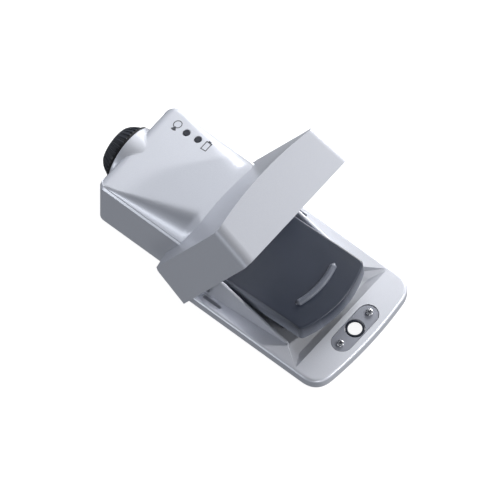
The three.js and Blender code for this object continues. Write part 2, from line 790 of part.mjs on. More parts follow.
function addPedal() {
  const tilted = new THREE.Group();
  tilted.position.set(0, PIVOT_Y, PIVOT_Z);
  tilted.rotation.x = -PEDAL_TILT;
  parts.add(tilted);
  add("pedal", pedal(), pedalPlastic(), tilted);
  for (const side of [-1, 1]) {
    add(`pivot_bush_${sideName(side)}`, bush(side), sinteredBronze(), tilted);
    const clipEnd = PIN_HALF - 0.6;
    const clip = ring(4.6, PIN_RADIUS + 0.1, clipEnd - 0.8, clipEnd, 16);
    clip.rotateY(side * Math.PI / 2);
    add(`pin_clip_${sideName(side)}`, clip, springSteel()).position.set(0, PIVOT_Y, PIVOT_Z);
  }
  const pin = rodX(PIN_RADIUS, PIVOT_Y, PIVOT_Z, -PIN_HALF, PIN_HALF);
  add("pivot_pin", pin, brightSteel());
}

// ---- springs, buffers and switch ----

function switchBody() {
  const half = SWITCH_HALF;
  const tabTop = BASIN_FLOOR + SWITCH_TAB / 2;
  const inlet = SWITCH_REAR - SWITCH_TAB - 2;
  const box = block(-half, half, SWITCH_FRONT, SWITCH_REAR - SWITCH_TAB, BASIN_FLOOR, SWITCH_TOP);
  let body = solid(box).add(solid(block(-half, half, SWITCH_FRONT, SWITCH_REAR, BASIN_FLOOR, tabTop)));
  body = body.subtract(solid(rodZ(PLUNGER_RADIUS + GAP, 0, PLUNGER_Y, WELL_FLOOR, 40)));
  body = body.subtract(solid(rodY(LEAD_RADIUS + GAP, 0, GLAND_Z, inlet, SWITCH_REAR + 1, 12)));
  for (const x of mirrored(SWITCH_SCREW_X)) {
    body = body.subtract(solid(rodZ(SWITCH_SCREW_HOLE, x, SWITCH_SCREW_Y, 2, tabTop + 3, 12)));
  }
  return body;
}

function plunger() {
  const profile = [
    [0, PLUNGER_BASE],
    [PLUNGER_RADIUS, PLUNGER_BASE],
    [PLUNGER_RADIUS, PLUNGER_TIP - 1.6],
    [PLUNGER_RADIUS * 0.7, PLUNGER_TIP - 0.4],
    [0, PLUNGER_TIP],
  ];
  return turned(profile, 20);
}

function addActuation() {
  for (const side of mirrored(1)) {
    const name = sideName(side);
    const spring = helix(5, 0.8, BASIN_FLOOR, SPRING_TOP, 6);
    add(`return_spring_${name}`, spring, springSteel()).position.set(side * SPRING_X, SPRING_Y, 0);
    const buffer = turned([
      [0, BASIN_FLOOR],
      [4, BASIN_FLOOR],
      [4, BUFFER_TOP - 1.5],
      [2.6, BUFFER_TOP],
      [0, BUFFER_TOP],
    ], 16);
    add(`stop_buffer_${name}`, buffer, blackRubber()).position.set(side * BUFFER_X, BUFFER_Y, 0);
  }
  add("switch_body", switchBody(), blackPlastic());
  add("switch_plunger", plunger(), greyPlate()).position.set(0, PLUNGER_Y, 0);
  for (const x of mirrored(SWITCH_SCREW_X)) {
    const fixing = add(`switch_screw_${sideName(x)}`, screw(2.4, 1.8, 1.2, 5.5), brightSteel());
    fixing.position.set(x, SWITCH_SCREW_Y, BASIN_FLOOR + SWITCH_TAB / 2);
  }
  const route = [
    [0, SWITCH_REAR - 7.7, GLAND_Z],
    [0, HOUSING_FRONT - 4, GLAND_Z],
    [0, HOUSING_FRONT + 5, GLAND_Z],
    [0, HOUSING_FRONT + 11, GLAND_Z + 1],
    [0, HOUSING_FRONT + 16, GLAND_Z + 8],
    [0, HOUSING_FRONT + 18, GLAND_Z + 24],
    [0, HOUSING_FRONT + 20, GLAND_Z + 41],
  ];
  const path = new THREE.CatmullRomCurve3(route.map((point) => new THREE.Vector3(...point)));
  add("switch_lead", along(path, LEAD_RADIUS, 24), blackRubber());
  const gland = ring(GLAND_RADIUS, LEAD_RADIUS + GAP, -3, 4, 20).rotateX(-Math.PI / 2);
  add("lead_gland", gland, blackRubber()).position.set(0, HOUSING_FRONT, GLAND_Z);
}

// ---- electronics ----

function circuitBoard() {
  const top = BOARD_TOP;
  let board = solid(block(BOARD_LEFT, BOARD_RIGHT, BOARD_FROM, BOARD_TO, top - BOARD_THICK, top));
  for (const [x, y] of BOARD_POSTS) board = board.subtract(solid(rodZ(1.4, x, y, -20, 0, 12)));
  return board;
}

function addElectronics() {
  const roof = new THREE.Group();
  roof.position.set(0, ROOF_Y, ROOF_Z);
  roof.rotation.x = -ROOF_TILT;
  parts.add(roof);
  const underside = BOARD_TOP - BOARD_THICK;
  add("circuit_board", circuitBoard(), boardGreen(), roof);
  const moduleBox = block(-20, 0, BOARD_FROM + 8, BOARD_FROM + 30, underside - 3.4, underside - 0.1);
  add("radio_module", moduleBox, brightSteel(), roof);
  const aerial = rodY(1.3, -22.5, underside - 1.6, BOARD_FROM + 34, BOARD_FROM + 52, 12);
  add("antenna", aerial, brassMetal(), roof);
  for (const [name, y] of Object.entries(WINDOW_ALONG)) {
    const lamp = [BOARD_TOP + 0.05, BOARD_TOP + 1.6];
    const led = block(WINDOW_X - 1.5, WINDOW_X + 1.5, y - 1.5, y + 1.5, ...lamp);
    add(`led_${name}`, led, smokedLens(), roof);
    const guide = turned([[0, -4.2], [2.9, -4.2], [2.9, -0.5], [2.4, -0.2], [0, -0.2]], 20);
    add(`light_guide_${name}`, guide, smokedLens(), roof).position.set(WINDOW_X, y, 0);
  }
  BOARD_POSTS.forEach(([x, y], i) => {
    const fixing = add(`board_screw_${i + 1}`, screw(2, 1.4, 0.9, 5), brightSteel(), roof);
    fixing.rotation.x = Math.PI;
    fixing.position.set(x, y, underside - 0.05);
  });
}

// ---- battery ----

function ribbedCap() {
  const shape = new THREE.Shape();
  const steps = CAP_RIBS * 4;
  const heights = [0, 0, CAP_RIB_DEPTH, CAP_RIB_DEPTH];
  for (let i = 0; i < steps; i += 1) {
    const angle = (i / steps) * Math.PI * 2;
    const radius = CAP_RADIUS - heights[i % 4];
    const x = radius * Math.cos(angle);
    const y = radius * Math.sin(angle);
    if (i === 0) shape.moveTo(x, y);
    else shape.lineTo(x, y);
  }
  shape.closePath();
  const envelope = turned([
    [0, CAP_FRONT],
    [CAP_RADIUS + 0.1, CAP_FRONT],
    [CAP_RADIUS + 0.1, CAP_STRAIGHT_END],
    CAP_SHOULDER,
    [CAP_FACE_RADIUS, LENGTH],
    [0, LENGTH],
  ], 48);
  const spigot = rodZ(BORE_RADIUS - GAP, 0, 0, SPIGOT_START, CAP_FRONT + 1, 40);
  const hollow = rodZ(SPIGOT_INNER, 0, 0, SPIGOT_START - 1, CAP_FRONT + 2, 40);
  const { half, width, depth } = COIN_SLOT;
  const slot = block(-half, half, -width / 2, width / 2, LENGTH - depth, LENGTH + 1);
  let cap = solid(slabZ(shape, CAP_FRONT - 1, LENGTH + 1)).intersect(solid(envelope));
  cap = cap.add(solid(spigot)).subtract(solid(hollow)).subtract(solid(slot));
  return cap;
}

function addBattery() {
  const bay = new THREE.Group();
  bay.position.set(0, 0, BATTERY_Z);
  bay.rotation.x = -Math.PI / 2;
  parts.add(bay);
  const inner = TUBE_RADIUS - 1.8;
  const tube = [
    [0, TUBE_FRONT],
    [TUBE_RADIUS, TUBE_FRONT],
    [TUBE_RADIUS, TUBE_END],
    [inner, TUBE_END],
    [inner, TUBE_FRONT + 2],
    [0, TUBE_FRONT + 2],
  ];
  add("battery_tube", turned(tube, 32), blackPlastic(), bay);
  const cell = [
    [0, CELL_FRONT],
    [CELL_RADIUS, CELL_FRONT],
    [CELL_RADIUS, CELL_END],
    [5, CELL_END],
    [5, CELL_END + 1.5],
    [0, CELL_END + 1.5],
  ];
  add("battery_cell", turned(cell, 32), cellWrap(), bay);
  const spring = helix(6, 0.4, TUBE_FRONT + 2.05, CELL_FRONT - 0.05, 1.5);
  add("battery_spring", spring, brassMetal(), bay);
  const contactTip = CELL_END + 1.8;
  const contact = [
    [0, contactTip],
    [7, contactTip],
    [7, contactTip + 0.8],
    [2, contactTip + 0.8],
    [2, CAP_FRONT + 1.9],
    [0, CAP_FRONT + 1.9],
  ];
  add("cap_contact", turned(contact, 20), brassMetal(), bay);
  add("cap_seal", ring(24.2, BORE_RADIUS + 0.3, SEAL_FRONT, SEAL_END, 48), blackRubber(), bay);
  add("battery_cap", ribbedCap(), blackPlastic(), bay);
}

add("body_casting", bodyCasting(), silverPaint());
addFloorParts();
addHood();
addEye();
addPedal();
addActuation();
addElectronics();
addBattery();

parts.position.set(0, -LENGTH / 2, 0);
const footSwitch = new THREE.Group();
footSwitch.add(parts);

export default footSwitch;
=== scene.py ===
import json
import math

import bmesh
import bpy
from mathutils import Matrix, Vector


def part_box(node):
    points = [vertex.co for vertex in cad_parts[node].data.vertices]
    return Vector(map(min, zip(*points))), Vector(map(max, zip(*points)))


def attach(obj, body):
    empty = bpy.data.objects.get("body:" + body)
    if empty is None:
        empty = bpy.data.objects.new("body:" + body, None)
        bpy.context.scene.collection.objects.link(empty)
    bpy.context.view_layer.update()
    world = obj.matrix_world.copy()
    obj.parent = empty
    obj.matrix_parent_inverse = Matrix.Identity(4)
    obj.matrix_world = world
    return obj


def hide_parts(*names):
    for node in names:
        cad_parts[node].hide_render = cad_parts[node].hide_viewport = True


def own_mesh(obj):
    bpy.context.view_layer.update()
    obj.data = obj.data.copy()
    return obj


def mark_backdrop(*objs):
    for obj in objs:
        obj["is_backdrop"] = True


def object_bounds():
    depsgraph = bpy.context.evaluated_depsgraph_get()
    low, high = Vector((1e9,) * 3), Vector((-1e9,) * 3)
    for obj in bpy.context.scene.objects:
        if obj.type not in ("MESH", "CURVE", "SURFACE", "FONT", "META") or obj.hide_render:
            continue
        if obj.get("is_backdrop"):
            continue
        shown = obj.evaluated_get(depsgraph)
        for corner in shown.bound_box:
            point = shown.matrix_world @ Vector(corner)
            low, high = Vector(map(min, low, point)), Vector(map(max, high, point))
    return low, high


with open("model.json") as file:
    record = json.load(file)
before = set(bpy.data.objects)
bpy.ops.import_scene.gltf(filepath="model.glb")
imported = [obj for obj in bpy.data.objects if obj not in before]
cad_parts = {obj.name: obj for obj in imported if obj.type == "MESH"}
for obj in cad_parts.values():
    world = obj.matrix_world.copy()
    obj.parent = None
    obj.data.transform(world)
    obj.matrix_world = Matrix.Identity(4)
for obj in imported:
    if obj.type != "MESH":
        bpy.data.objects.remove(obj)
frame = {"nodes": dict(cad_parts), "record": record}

cadLow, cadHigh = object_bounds()
mm = 0.001
frontY = cadLow.y
print("frame loaded:", len(frame["nodes"]), "CAD nodes")


# small helpers that every piece uses
def spot(x, y, z):
    # millimetres, y from the front edge, to metres in the row frame
    return Vector((x * mm, frontY + y * mm, z * mm))


def mix(a, b, share):
    return a + (b - a) * share


def arcPoints(x, y, radius, start, sweep, steps):
    # points along a stretch of a circle, both ends included; angles in radians
    angles = [start + sweep * i / steps for i in range(steps + 1)]
    return [(x + radius * math.cos(angle), y + radius * math.sin(angle)) for angle in angles]


def newPiece(name, mesh):
    piece = bpy.data.objects.new(name, mesh)
    bpy.context.scene.collection.objects.link(piece)
    return piece


def fromShape(name, shape):
    # a bmesh in metres becomes an object with its faces outwards
    bmesh.ops.recalc_face_normals(shape, faces=shape.faces)
    mesh = bpy.data.meshes.new(name)
    shape.to_mesh(mesh)
    shape.free()
    return newPiece(name, mesh)


def hullPiece(name, points):
    shape = bmesh.new()
    for point in points:
        shape.verts.new(spot(*point))
    made = bmesh.ops.convex_hull(shape, input=shape.verts)
    spare = [v for v in made["geom_interior"] if isinstance(v, bmesh.types.BMVert)]
    bmesh.ops.delete(shape, geom=spare, context="VERTS")
    flat = math.radians(0.6)
    bmesh.ops.dissolve_limit(shape, angle_limit=flat, verts=shape.verts, edges=shape.edges)
    return fromShape(name, shape)


def prismPiece(name, outline, low, high, turn=None):
    # an outline of (x, y) pairs carried from low to high; turn moves the finished points
    shape = bmesh.new()
    rings = []
    for z in (low, high):
        points = [(x, y, z) for x, y in outline]
        rings.append([shape.verts.new(spot(*(turn(*p) if turn else p))) for p in points])
    count = len(outline)
    for i in range(count):
        j = (i + 1) % count
        shape.faces.new([rings[0][i], rings[0][j], rings[1][j], rings[1][i]])
    shape.faces.new(rings[0][::-1])
    shape.faces.new(rings[1])
    return fromShape(name, shape)


def skin(shape, rings):
    # faces from ring to ring, closed round each ring and at both ends
    for a, b in zip(rings, rings[1:]):
        for i in [*range(len(a) - 1), -1]:
            shape.faces.new([a[i], a[i + 1], b[i + 1], b[i]])
    shape.faces.new(rings[0])
    shape.faces.new(rings[-1][::-1])


def blockPiece(name, x, y, z):
    corners = [(x[0], y[0]), (x[1], y[0]), (x[1], y[1]), (x[0], y[1])]
    return prismPiece(name, corners, z[0], z[1])


def turnedPiece(name, profile, place, steps=64):
    # a profile of (radius, height) pairs turned about an axis; place maps (across, across, along)
    shape = bmesh.new()
    rings = []
    for radius, height in profile:
        if radius < 1e-6:
            rings.append([shape.verts.new(spot(*place(0, 0, height)))])
            continue
        ring = []
        for i in range(steps):
            angle = 2 * math.pi * i / steps
            at = place(radius * math.cos(angle), radius * math.sin(angle), height)
            ring.append(shape.verts.new(spot(*at)))
        rings.append(ring)
    for a, b in zip(rings, rings[1:]):
        for i in range(steps):
            j = (i + 1) % steps
            corners = [a[i % len(a)], a[j % len(a)], b[j % len(b)], b[i % len(b)]]
            kept = list(dict.fromkeys(corners))
            if len(kept) > 2:
                shape.faces.new(kept)
    bmesh.ops.remove_doubles(shape, verts=shape.verts, dist=1e-7)
    return fromShape(name, shape)


def upright(x, y):
    return lambda a, b, h: (x + a, y + b, h)


def rearward(x, z):
    return lambda a, b, h: (x + a, h, z - b)


def sideways(y, z):
    return lambda a, b, h: (h, y + a, z + b)


def rod(name, place, radius, low, high, steps=48):
    return turnedPiece(name, [(0, low), (radius, low), (radius, high), (0, high)], place, steps)


def applyModifiers(piece):
    graph = bpy.context.evaluated_depsgraph_get()
    mesh = bpy.data.meshes.new_from_object(piece.evaluated_get(graph))
    piece.modifiers.clear()
    old = piece.data
    piece.data = mesh
    bpy.data.meshes.remove(old)
    mesh.name = piece.name
    return piece


def combine(piece, tools, operation):
    for tool in tools:
        step = piece.modifiers.new("join", "BOOLEAN")
        step.operation = operation
        step.solver = "EXACT"
        step.object = tool
    applyModifiers(piece)
    for tool in tools:
        mesh = tool.data
        bpy.data.objects.remove(tool)
        bpy.data.meshes.remove(mesh)
    return piece


def unite(piece, *tools):
    return combine(piece, tools, "UNION")


def cut(piece, *tools):
    return combine(piece, tools, "DIFFERENCE")


def soften(piece, width, segments=3, chosen=None, angle=30):
    # rounds the edges sharper than the angle, or only the chosen ones
    step = piece.modifiers.new("soft", "BEVEL")
    step.width = width * mm
    step.segments = segments
    step.limit_method = "ANGLE"
    step.angle_limit = math.radians(angle)
    if chosen:
        step.limit_method = "WEIGHT"
        weights = piece.data.attributes.new("bevel_weight_edge", "FLOAT", "EDGE")
        places = [Vector((v.co.x, v.co.y - frontY, v.co.z)) / mm for v in piece.data.vertices]
        for edge in piece.data.edges:
            a, b = (places[i] for i in edge.vertices)
            weights.data[edge.index].value = float(chosen(a, b))
    return applyModifiers(piece)


def merged(piece):
    shape = bmesh.new()
    shape.from_mesh(piece.data)
    bmesh.ops.remove_doubles(shape, verts=shape.verts, dist=2e-6)
    shape.to_mesh(piece.data)
    shape.free()
    return piece


def finishSurface(piece, angle=32):
    # smooth over the rounded strips, flat on the flats
    piece.data.polygons.foreach_set("use_smooth", [True] * len(piece.data.polygons))
    piece.data.set_sharp_from_angle(angle=math.radians(angle))
    step = piece.modifiers.new("flats", "WEIGHTED_NORMAL")
    step.keep_sharp = True
    step.weight = 100
    return applyModifiers(piece)


def hand(piece, body, slotName, *nodes, finish=None):
    piece.data.materials.clear()
    piece.data.materials.append(finish or finishes[slotName])
    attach(piece, body)
    if nodes:
        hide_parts(*nodes)
    return piece


# nodes and finishes
def addNode(tree, kind, values=None, **settings):
    # settings are the node's own; a value that is another node's output becomes a link
    node = tree.nodes.new(kind)
    for label, value in settings.items():
        setattr(node, label, value)
    for label, value in (values or {}).items():
        socket = node.inputs[label]
        if isinstance(value, bpy.types.NodeSocket):
            tree.links.new(value, socket)
        else:
            socket.default_value = value
    return node


def newFinish(name, **values):
    finish = bpy.data.materials.new(name)
    finish.use_nodes = True
    shader = finish.node_tree.nodes["Principled BSDF"]
    for label, value in values.items():
        shader.inputs[label.replace("_", " ")].default_value = value
    return finish, finish.node_tree, shader


def objectSpace(tree):
    return addNode(tree, "ShaderNodeTexCoord").outputs["Object"]


def noise(tree, scale, detail=2.0, rough=0.5, space=None):
    values = {"Scale": scale, "Detail": detail, "Roughness": rough, "Vector": space or objectSpace(tree)}
    return addNode(tree, "ShaderNodeTexNoise", values).outputs["Fac"]


def ramp(tree, value, low, high, fromLow=0.0, fromHigh=1.0):
    values = {"Value": value, "From Min": fromLow, "From Max": fromHigh, "To Min": low, "To Max": high}
    return addNode(tree, "ShaderNodeMapRange", values).outputs["Result"]


def tint(tree, share, *ends):
    dark, light = (end if isinstance(end, bpy.types.NodeSocket) else (*end, 1) for end in ends)
    values = {"Factor": share, "A": dark, "B": light}
    return addNode(tree, "ShaderNodeMix", values, data_type="RGBA").outputs["Result"]


def bump(tree, shader, height, strength, distance):
    values = {"Height": height, "Strength": strength, "Distance": distance}
    relief = addNode(tree, "ShaderNodeBump", values)
    tree.links.new(relief.outputs["Normal"], shader.inputs["Normal"])


def cover(tree, shader, colour, rough):
    tree.links.new(colour, shader.inputs["Base Color"])
    tree.links.new(rough, shader.inputs["Roughness"])


def silverPaint():
    # satin metallic paint: fine flake, faint orange peel, slightly uneven gloss
    finish, tree, shader = newFinish("silverPaint", Metallic=0.5, Specular_IOR_Level=0.5)
    flake = ramp(tree, noise(tree, 5200, 1.0), 0.0, 1.0, 0.3, 0.7)
    colour = tint(tree, flake, (0.60, 0.615, 0.665), (0.70, 0.715, 0.765))
    cover(tree, shader, colour, ramp(tree, noise(tree, 26, 3.0), 0.31, 0.37))
    bump(tree, shader, noise(tree, 900, 2.0), 0.12, 0.00004)
    return finish


def pedalPlastic(name, highlightFrom, highlightTo):
    # anthracite moulding with a fine eroded grain; its sharp convex edges get a painted highlight, a paler
    # colour in place of a lamp's glint
    finish, tree, shader = newFinish(name, Specular_IOR_Level=0.7)
    grain = noise(tree, 2600, 2.0, 0.6)
    colour = tint(tree, noise(tree, 40, 2.0), (0.011, 0.015, 0.026), (0.018, 0.023, 0.038))
    edge = addNode(tree, "ShaderNodeNewGeometry").outputs["Pointiness"]
    # painted highlight: pale colour on the convex edges, where a lamp would glint
    paintedHighlight = ramp(tree, edge, 0.0, 1.0, highlightFrom, highlightTo)
    cover(tree, shader, tint(tree, paintedHighlight, colour, (0.26, 0.28, 0.33)), ramp(tree, grain, 0.28, 0.44))
    bump(tree, shader, grain, 0.5, 0.00014)
    return finish


def grained(name, size, dark, light, rough, relief=None, dust=None, **values):
    # one grain for gloss and relief, which also makes the colour uneven unless a coarser dust does
    finish, tree, shader = newFinish(name, **values)
    grain = noise(tree, *size)
    cloud = noise(tree, *dust) if dust else grain
    cover(tree, shader, tint(tree, cloud, dark, light), ramp(tree, grain, *rough))
    if relief:
        bump(tree, shader, grain, *relief)
    return finish


def metal(name, dark, light, rough, streak=900):
    # drawn or turned metal: fine streaks along one direction
    finish, tree, shader = newFinish(name, Metallic=1.0)
    values = {"Scale": (1.0, 1.0, 0.08), "Vector": objectSpace(tree)}
    space = addNode(tree, "ShaderNodeMapping", values).outputs["Vector"]
    lines = noise(tree, streak, 3.0, 0.6, space)
    cover(tree, shader, tint(tree, lines, dark, light), ramp(tree, lines, rough * 0.8, rough * 1.3))
    bump(tree, shader, lines, 0.08, 0.00003)
    return finish


def boardGreen():
    # lacquered board with tracks showing through as lighter lines
    finish, tree, shader = newFinish("boardGreen", Roughness=0.35, Coat_Weight=0.4)
    values = {"Scale": 150, "Mortar Size": 0.06, "Color1": (0.008, 0.085, 0.030, 1)}
    values.update({"Color2": (0.011, 0.105, 0.038, 1), "Mortar": (0.03, 0.20, 0.07, 1)})
    brick = addNode(tree, "ShaderNodeTexBrick", {**values, "Vector": objectSpace(tree)})
    tree.links.new(brick.outputs["Color"], shader.inputs["Base Color"])
    bump(tree, shader, brick.outputs["Fac"], 0.2, 0.00005)
    return finish


finishes = {
    "silver_paint": silverPaint(),
    # the two numbers set how sharp an edge must be before the painted highlight shows
    "pedal_plastic": pedalPlastic("pedalPlastic", 0.53, 0.62),
    # a copy of the pedal plastic whose painted highlight spreads wider over the grip rib
    "grip": pedalPlastic("gripPlastic", 0.485, 0.60),
    "black_plastic": grained(
        "blackPlastic", (1800, 2.0), (0.004, 0.006, 0.012), (0.009, 0.012, 0.021), (0.24, 0.36),
        (0.2, 0.00008), Specular_IOR_Level=0.5,
    ),
    "black_rubber": grained(
        "blackRubber", (1400, 3.0), (0.010, 0.010, 0.011), (0.022, 0.022, 0.023), (0.7, 0.9),
        (0.3, 0.0001), (60, 2.0), Specular_IOR_Level=0.3,
    ),
    "grey_plate": grained(
        "greyPlate", (2400, 2.0), (0.20, 0.21, 0.245), (0.29, 0.30, 0.34), (0.4, 0.55),
        (0.25, 0.00006), Metallic=0.45,
    ),
    "bright_steel": metal("brightSteel", (0.58, 0.58, 0.60), (0.72, 0.72, 0.73), 0.2),
    "spring_steel": metal("springSteel", (0.30, 0.31, 0.33), (0.42, 0.43, 0.45), 0.3),
    "contact_brass": metal("contactBrass", (0.52, 0.38, 0.14), (0.66, 0.49, 0.20), 0.28),
    "board_green": boardGreen(),
    "smoked_lens": grained(
        "smokedLens", (500, 2.0), (0.022, 0.024, 0.032), (0.036, 0.038, 0.048), (0.15, 0.3),
        Specular_IOR_Level=0.3,
    ),
    "cell_wrap": grained(
        "cellWrap", (160, 4.0), (0.025, 0.07, 0.22), (0.035, 0.09, 0.27), (0.25, 0.4),
        (0.15, 0.0001), Coat_Weight=0.3,
    ),
    "sintered_bronze": metal("sinteredBronze", (0.20, 0.11, 0.04), (0.30, 0.17, 0.07), 0.45, 2400),
}
signInk = grained(
    "signPrint", (3000, 2.0), (0.05, 0.052, 0.062), (0.10, 0.102, 0.115), (0.5, 0.65),
    Specular_IOR_Level=0.3,
)
slotOf = {s["node"]: s["material_slot"] for s in frame["record"]["subparts"]}
bodyOf = {n: b for b, ns in frame["record"]["behaviour"]["bodies"].items() for n in ns}
print("finishes made")


# the viewpoint, looking down from the front left, and the studio around it

view = {
    "target": (-0.0064, -0.0121, 0.030),
    "right": (0.6340, -0.7733, 0.0),
    "up": (0.6806, 0.5580, 0.4749),
    "wide": 0.3807,
    "distance": 3.2,
}


def makeCamera():
    lens = bpy.data.cameras.new("camera")
    lens.type = "ORTHO"
    lens.ortho_scale = view["wide"]
    lens.clip_start = 0.1
    lens.clip_end = 50
    camera = bpy.data.objects.new("camera", lens)
    bpy.context.scene.collection.objects.link(camera)
    right = Vector(view["right"]).normalized()
    up = Vector(view["up"]).normalized()
    back = right.cross(up)
    camera.matrix_world = Matrix((right, up, back)).transposed().to_4x4()
    camera.location = Vector(view["target"]) + back * view["distance"]
    bpy.context.scene.camera = camera


stageSizes = {"floor": 12.0, "dome": 9.0, "glow": 0.92, "shadow": 0.3}


def makeStage():
    finish, tree, shader = newFinish("floorPaper", Roughness=1.0, Specular_IOR_Level=0.0)
    grain = noise(tree, 3, 2.0)
    tone = stageSizes["shadow"]
    tree.links.new(tint(tree, grain, (tone,) * 3, (tone * 1.03,) * 3), shader.inputs["Base Color"])
    shader.inputs["Emission Color"].default_value = (1, 1, 1, 1)
    shader.inputs["Emission Strength"].default_value = stageSizes["glow"]
    half = stageSizes["floor"] / 2
    shape = bmesh.new()
    corners = [(-half, -half), (half, -half), (half, half), (-half, half)]
    shape.faces.new([shape.verts.new((x, y, 0)) for x, y in corners])
    floor = fromShape("floor", shape)
    shape = bmesh.new()
    bmesh.ops.create_icosphere(shape, subdivisions=4, radius=stageSizes["dome"])
    dome = fromShape("backdrop", shape)
    for thing in (floor, dome):
        thing.data.materials.append(finish)
        thing.visible_diffuse = False
        thing.visible_glossy = False
        thing.visible_transmission = False
        thing.visible_shadow = False
    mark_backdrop(floor, dome)


lamps = {
    # name: direction from the middle, distance, width, height, watts, tint
    "key": ((0.45, -0.62, 0.64), 1.3, 0.06, 0.06, 13.0, (1.0, 0.99, 0.97)),
    "topRear": ((0.37, 0.65, 0.66), 1.3, 0.8, 0.6, 1.2, (0.96, 0.98, 1.0)),
    "front": ((0.37, -0.88, 0.30), 1.1, 0.6, 0.2, 3.4, (1.0, 1.0, 1.0)),
    "frontLeft": ((-0.66, -0.72, 0.20), 1.1, 0.4, 0.2, 1.4, (0.98, 0.99, 1.0)),
    "right": ((0.93, 0.10, 0.36), 0.5, 0.3, 0.2, 3.6, (1.0, 1.0, 1.0)),
    "left": ((-0.90, 0.40, 0.02), 0.8, 0.4, 0.2, 0.7, (0.94, 0.97, 1.0)),
}
middle = Vector((0, -0.01, 0.05))
darkPanel = {"towards": (-0.77, -0.30, 0.56), "edge": (0.80, 0.95), "left": 0.02}
skySteps = [(0.0, 0.17), (0.30, 0.17), (0.44, 0.60), (0.72, 0.60), (0.84, 0.24), (1.0, 0.24)]


def makeLamps():
    for name, (direction, distance, wide, high, watts, colour) in lamps.items():
        lamp = bpy.data.lights.new(name, "AREA")
        lamp.shape = "RECTANGLE"
        lamp.size = wide
        lamp.size_y = high
        lamp.energy = watts
        lamp.color = colour
        holder = bpy.data.objects.new(name, lamp)
        bpy.context.scene.collection.objects.link(holder)
        holder.visible_glossy = name != "key"
        away = Vector(direction).normalized()
        holder.location = middle + away * distance
        holder.rotation_mode = "QUATERNION"
        holder.rotation_quaternion = (-away).to_track_quat("-Z", "Y")


def makeSky():
    # a dim room, brightest in a band about the horizon
    sky = bpy.data.worlds.new("room")
    bpy.context.scene.world = sky
    sky.use_nodes = True
    tree = sky.node_tree
    around = addNode(tree, "ShaderNodeTexCoord").outputs["Generated"]
    height = addNode(tree, "ShaderNodeSeparateXYZ", {0: around}).outputs["Z"]
    shade = addNode(tree, "ShaderNodeValToRGB", {"Fac": ramp(tree, height, 0.0, 1.0, -1.0, 1.0)})
    stops = shade.color_ramp.elements
    while len(stops) < len(skySteps):
        stops.new(0.5)
    for stop, (at, level) in zip(stops, skySteps):
        stop.position = at
        stop.color = (level * 0.92, level * 0.96, level * 1.04, 1)
    # the room is dark high on the left, for the hood's rounded corner to pick up
    values = {0: around, 1: Vector(darkPanel["towards"]).normalized()}
    near = addNode(tree, "ShaderNodeVectorMath", values, operation="DOT_PRODUCT").outputs["Value"]
    lit = ramp(tree, near, 1.0, darkPanel["left"], *darkPanel["edge"])
    values = {"Factor": 1.0, "A": shade.outputs["Color"], "B": lit}
    dimmed = addNode(tree, "ShaderNodeMix", values, data_type="RGBA", blend_type="MULTIPLY")
    tree.links.new(dimmed.outputs["Result"], tree.nodes["Background"].inputs["Color"])


makeCamera()
makeStage()
makeLamps()
makeSky()
bpy.context.scene.view_settings.view_transform = "Standard"
print("camera, stage and lights made")


# the casting that carries everything

casting = {
    "underside": 1.5,
    "platformHalf": 58,
    "platformTop": 11,
    "platformEnd": 152,
    "cornerStart": 20,
    "frontBow": 0.0014,
    "bowHalf": 43,
    "topRound": 2.6,
    "basinFloor": 4.6,
    "basinFront": 28,
    "basinFloorFront": 36,
    "basinRim": 54.6,
    "trenchHalf": 41.5,
    "finTip": 46,
    "finSlope": 0.333,
    "finTop": 2,
    "finFoot": 8.1,
    "slotX": 51.5,
    "slotFrom": 104.6,
    "slotTo": 122,
    "slotRadius": 1.3,
    "housingHalf": 45.4,
    "housingFront": 134,
    "housingRear": 232.2,
    "ridge": 49,
    "roofY": 142,
    "roofZ": 71,
    "roofFall": 0.2278,
    "flatFront": 33,
    "flatRear": 44,
    "bead": 2.6,
    "beadStep": 0.35,
    "rearRound": 7.0,
    "foldFront": 8,
    "foldRear": 70,
    "foldFrom": 141,
    "foldTo": 172,
    "wall": 3,
    "batteryZ": 27.6,
    "bossRadius": 24.8,
    "bossStart": 215,
    "bossEnd": 237.5,
    "webStart": 220,
    "webHalf": 25,
    "webEnd": 236.3,
    "webArc": 78,
    "bore": 20.6,
    "boreStart": 219.5,
    "pinHole": 2.8,
}


def quadratic(a, b, c, steps):
    # points along a quadratic curve, without its first point
    made = []
    for i in range(1, steps + 1):
        t = i / steps
        made.append(tuple((1 - t) ** 2 * p + 2 * t * (1 - t) * q + t * t * r for p, q, r in zip(a, b, c)))
    return made


def platformOutline():
    half, bow = casting["platformHalf"], casting["bowHalf"]
    bowY = casting["frontBow"] * bow ** 2
    cornerY = casting["frontBow"] * half ** 2
    start, end = casting["cornerStart"], casting["platformEnd"]
    points = [(-half, end - 6), (-half, start)]
    points += quadratic((-half, start), (-half, cornerY), (-bow, bowY), 14)
    points += quadratic((-bow, bowY), (0, -bowY), (bow, bowY), 24)
    points += quadratic((bow, bowY), (half, cornerY), (half, start), 14)
    return points + [(half, end - 6), (half - 6, end), (6 - half, end)]


def roofZ(y):
    return casting["roofZ"] - casting["roofFall"] * (y - casting["roofY"])


def flatHalf(y):
    share = (y - casting["housingFront"]) / (casting["housingRear"] - casting["housingFront"])
    return mix(casting["flatFront"], casting["flatRear"], share)


def roundedLine(corners, steps=10):
    # corners are (x, z, radius); each is rounded with the same number of points
    made = []
    for i, (x, z, radius) in enumerate(corners):
        here = Vector((x, z))
        if i in (0, len(corners) - 1) or radius == 0:
            made.append((x, z))
            continue
        before = Vector(corners[i - 1][:2]) - here
        after = Vector(corners[i + 1][:2]) - here
        turn = before.angle(after)
        reach = min(radius / math.tan(turn / 2), before.length * 0.85, after.length * 0.85)
        a = here + before.normalized() * reach
        b = here + after.normalized() * reach
        for s in range(steps + 1):
            t = s / steps
            made.append(tuple((1 - t) ** 2 * a + 2 * t * (1 - t) * here + t * t * b))
    return made


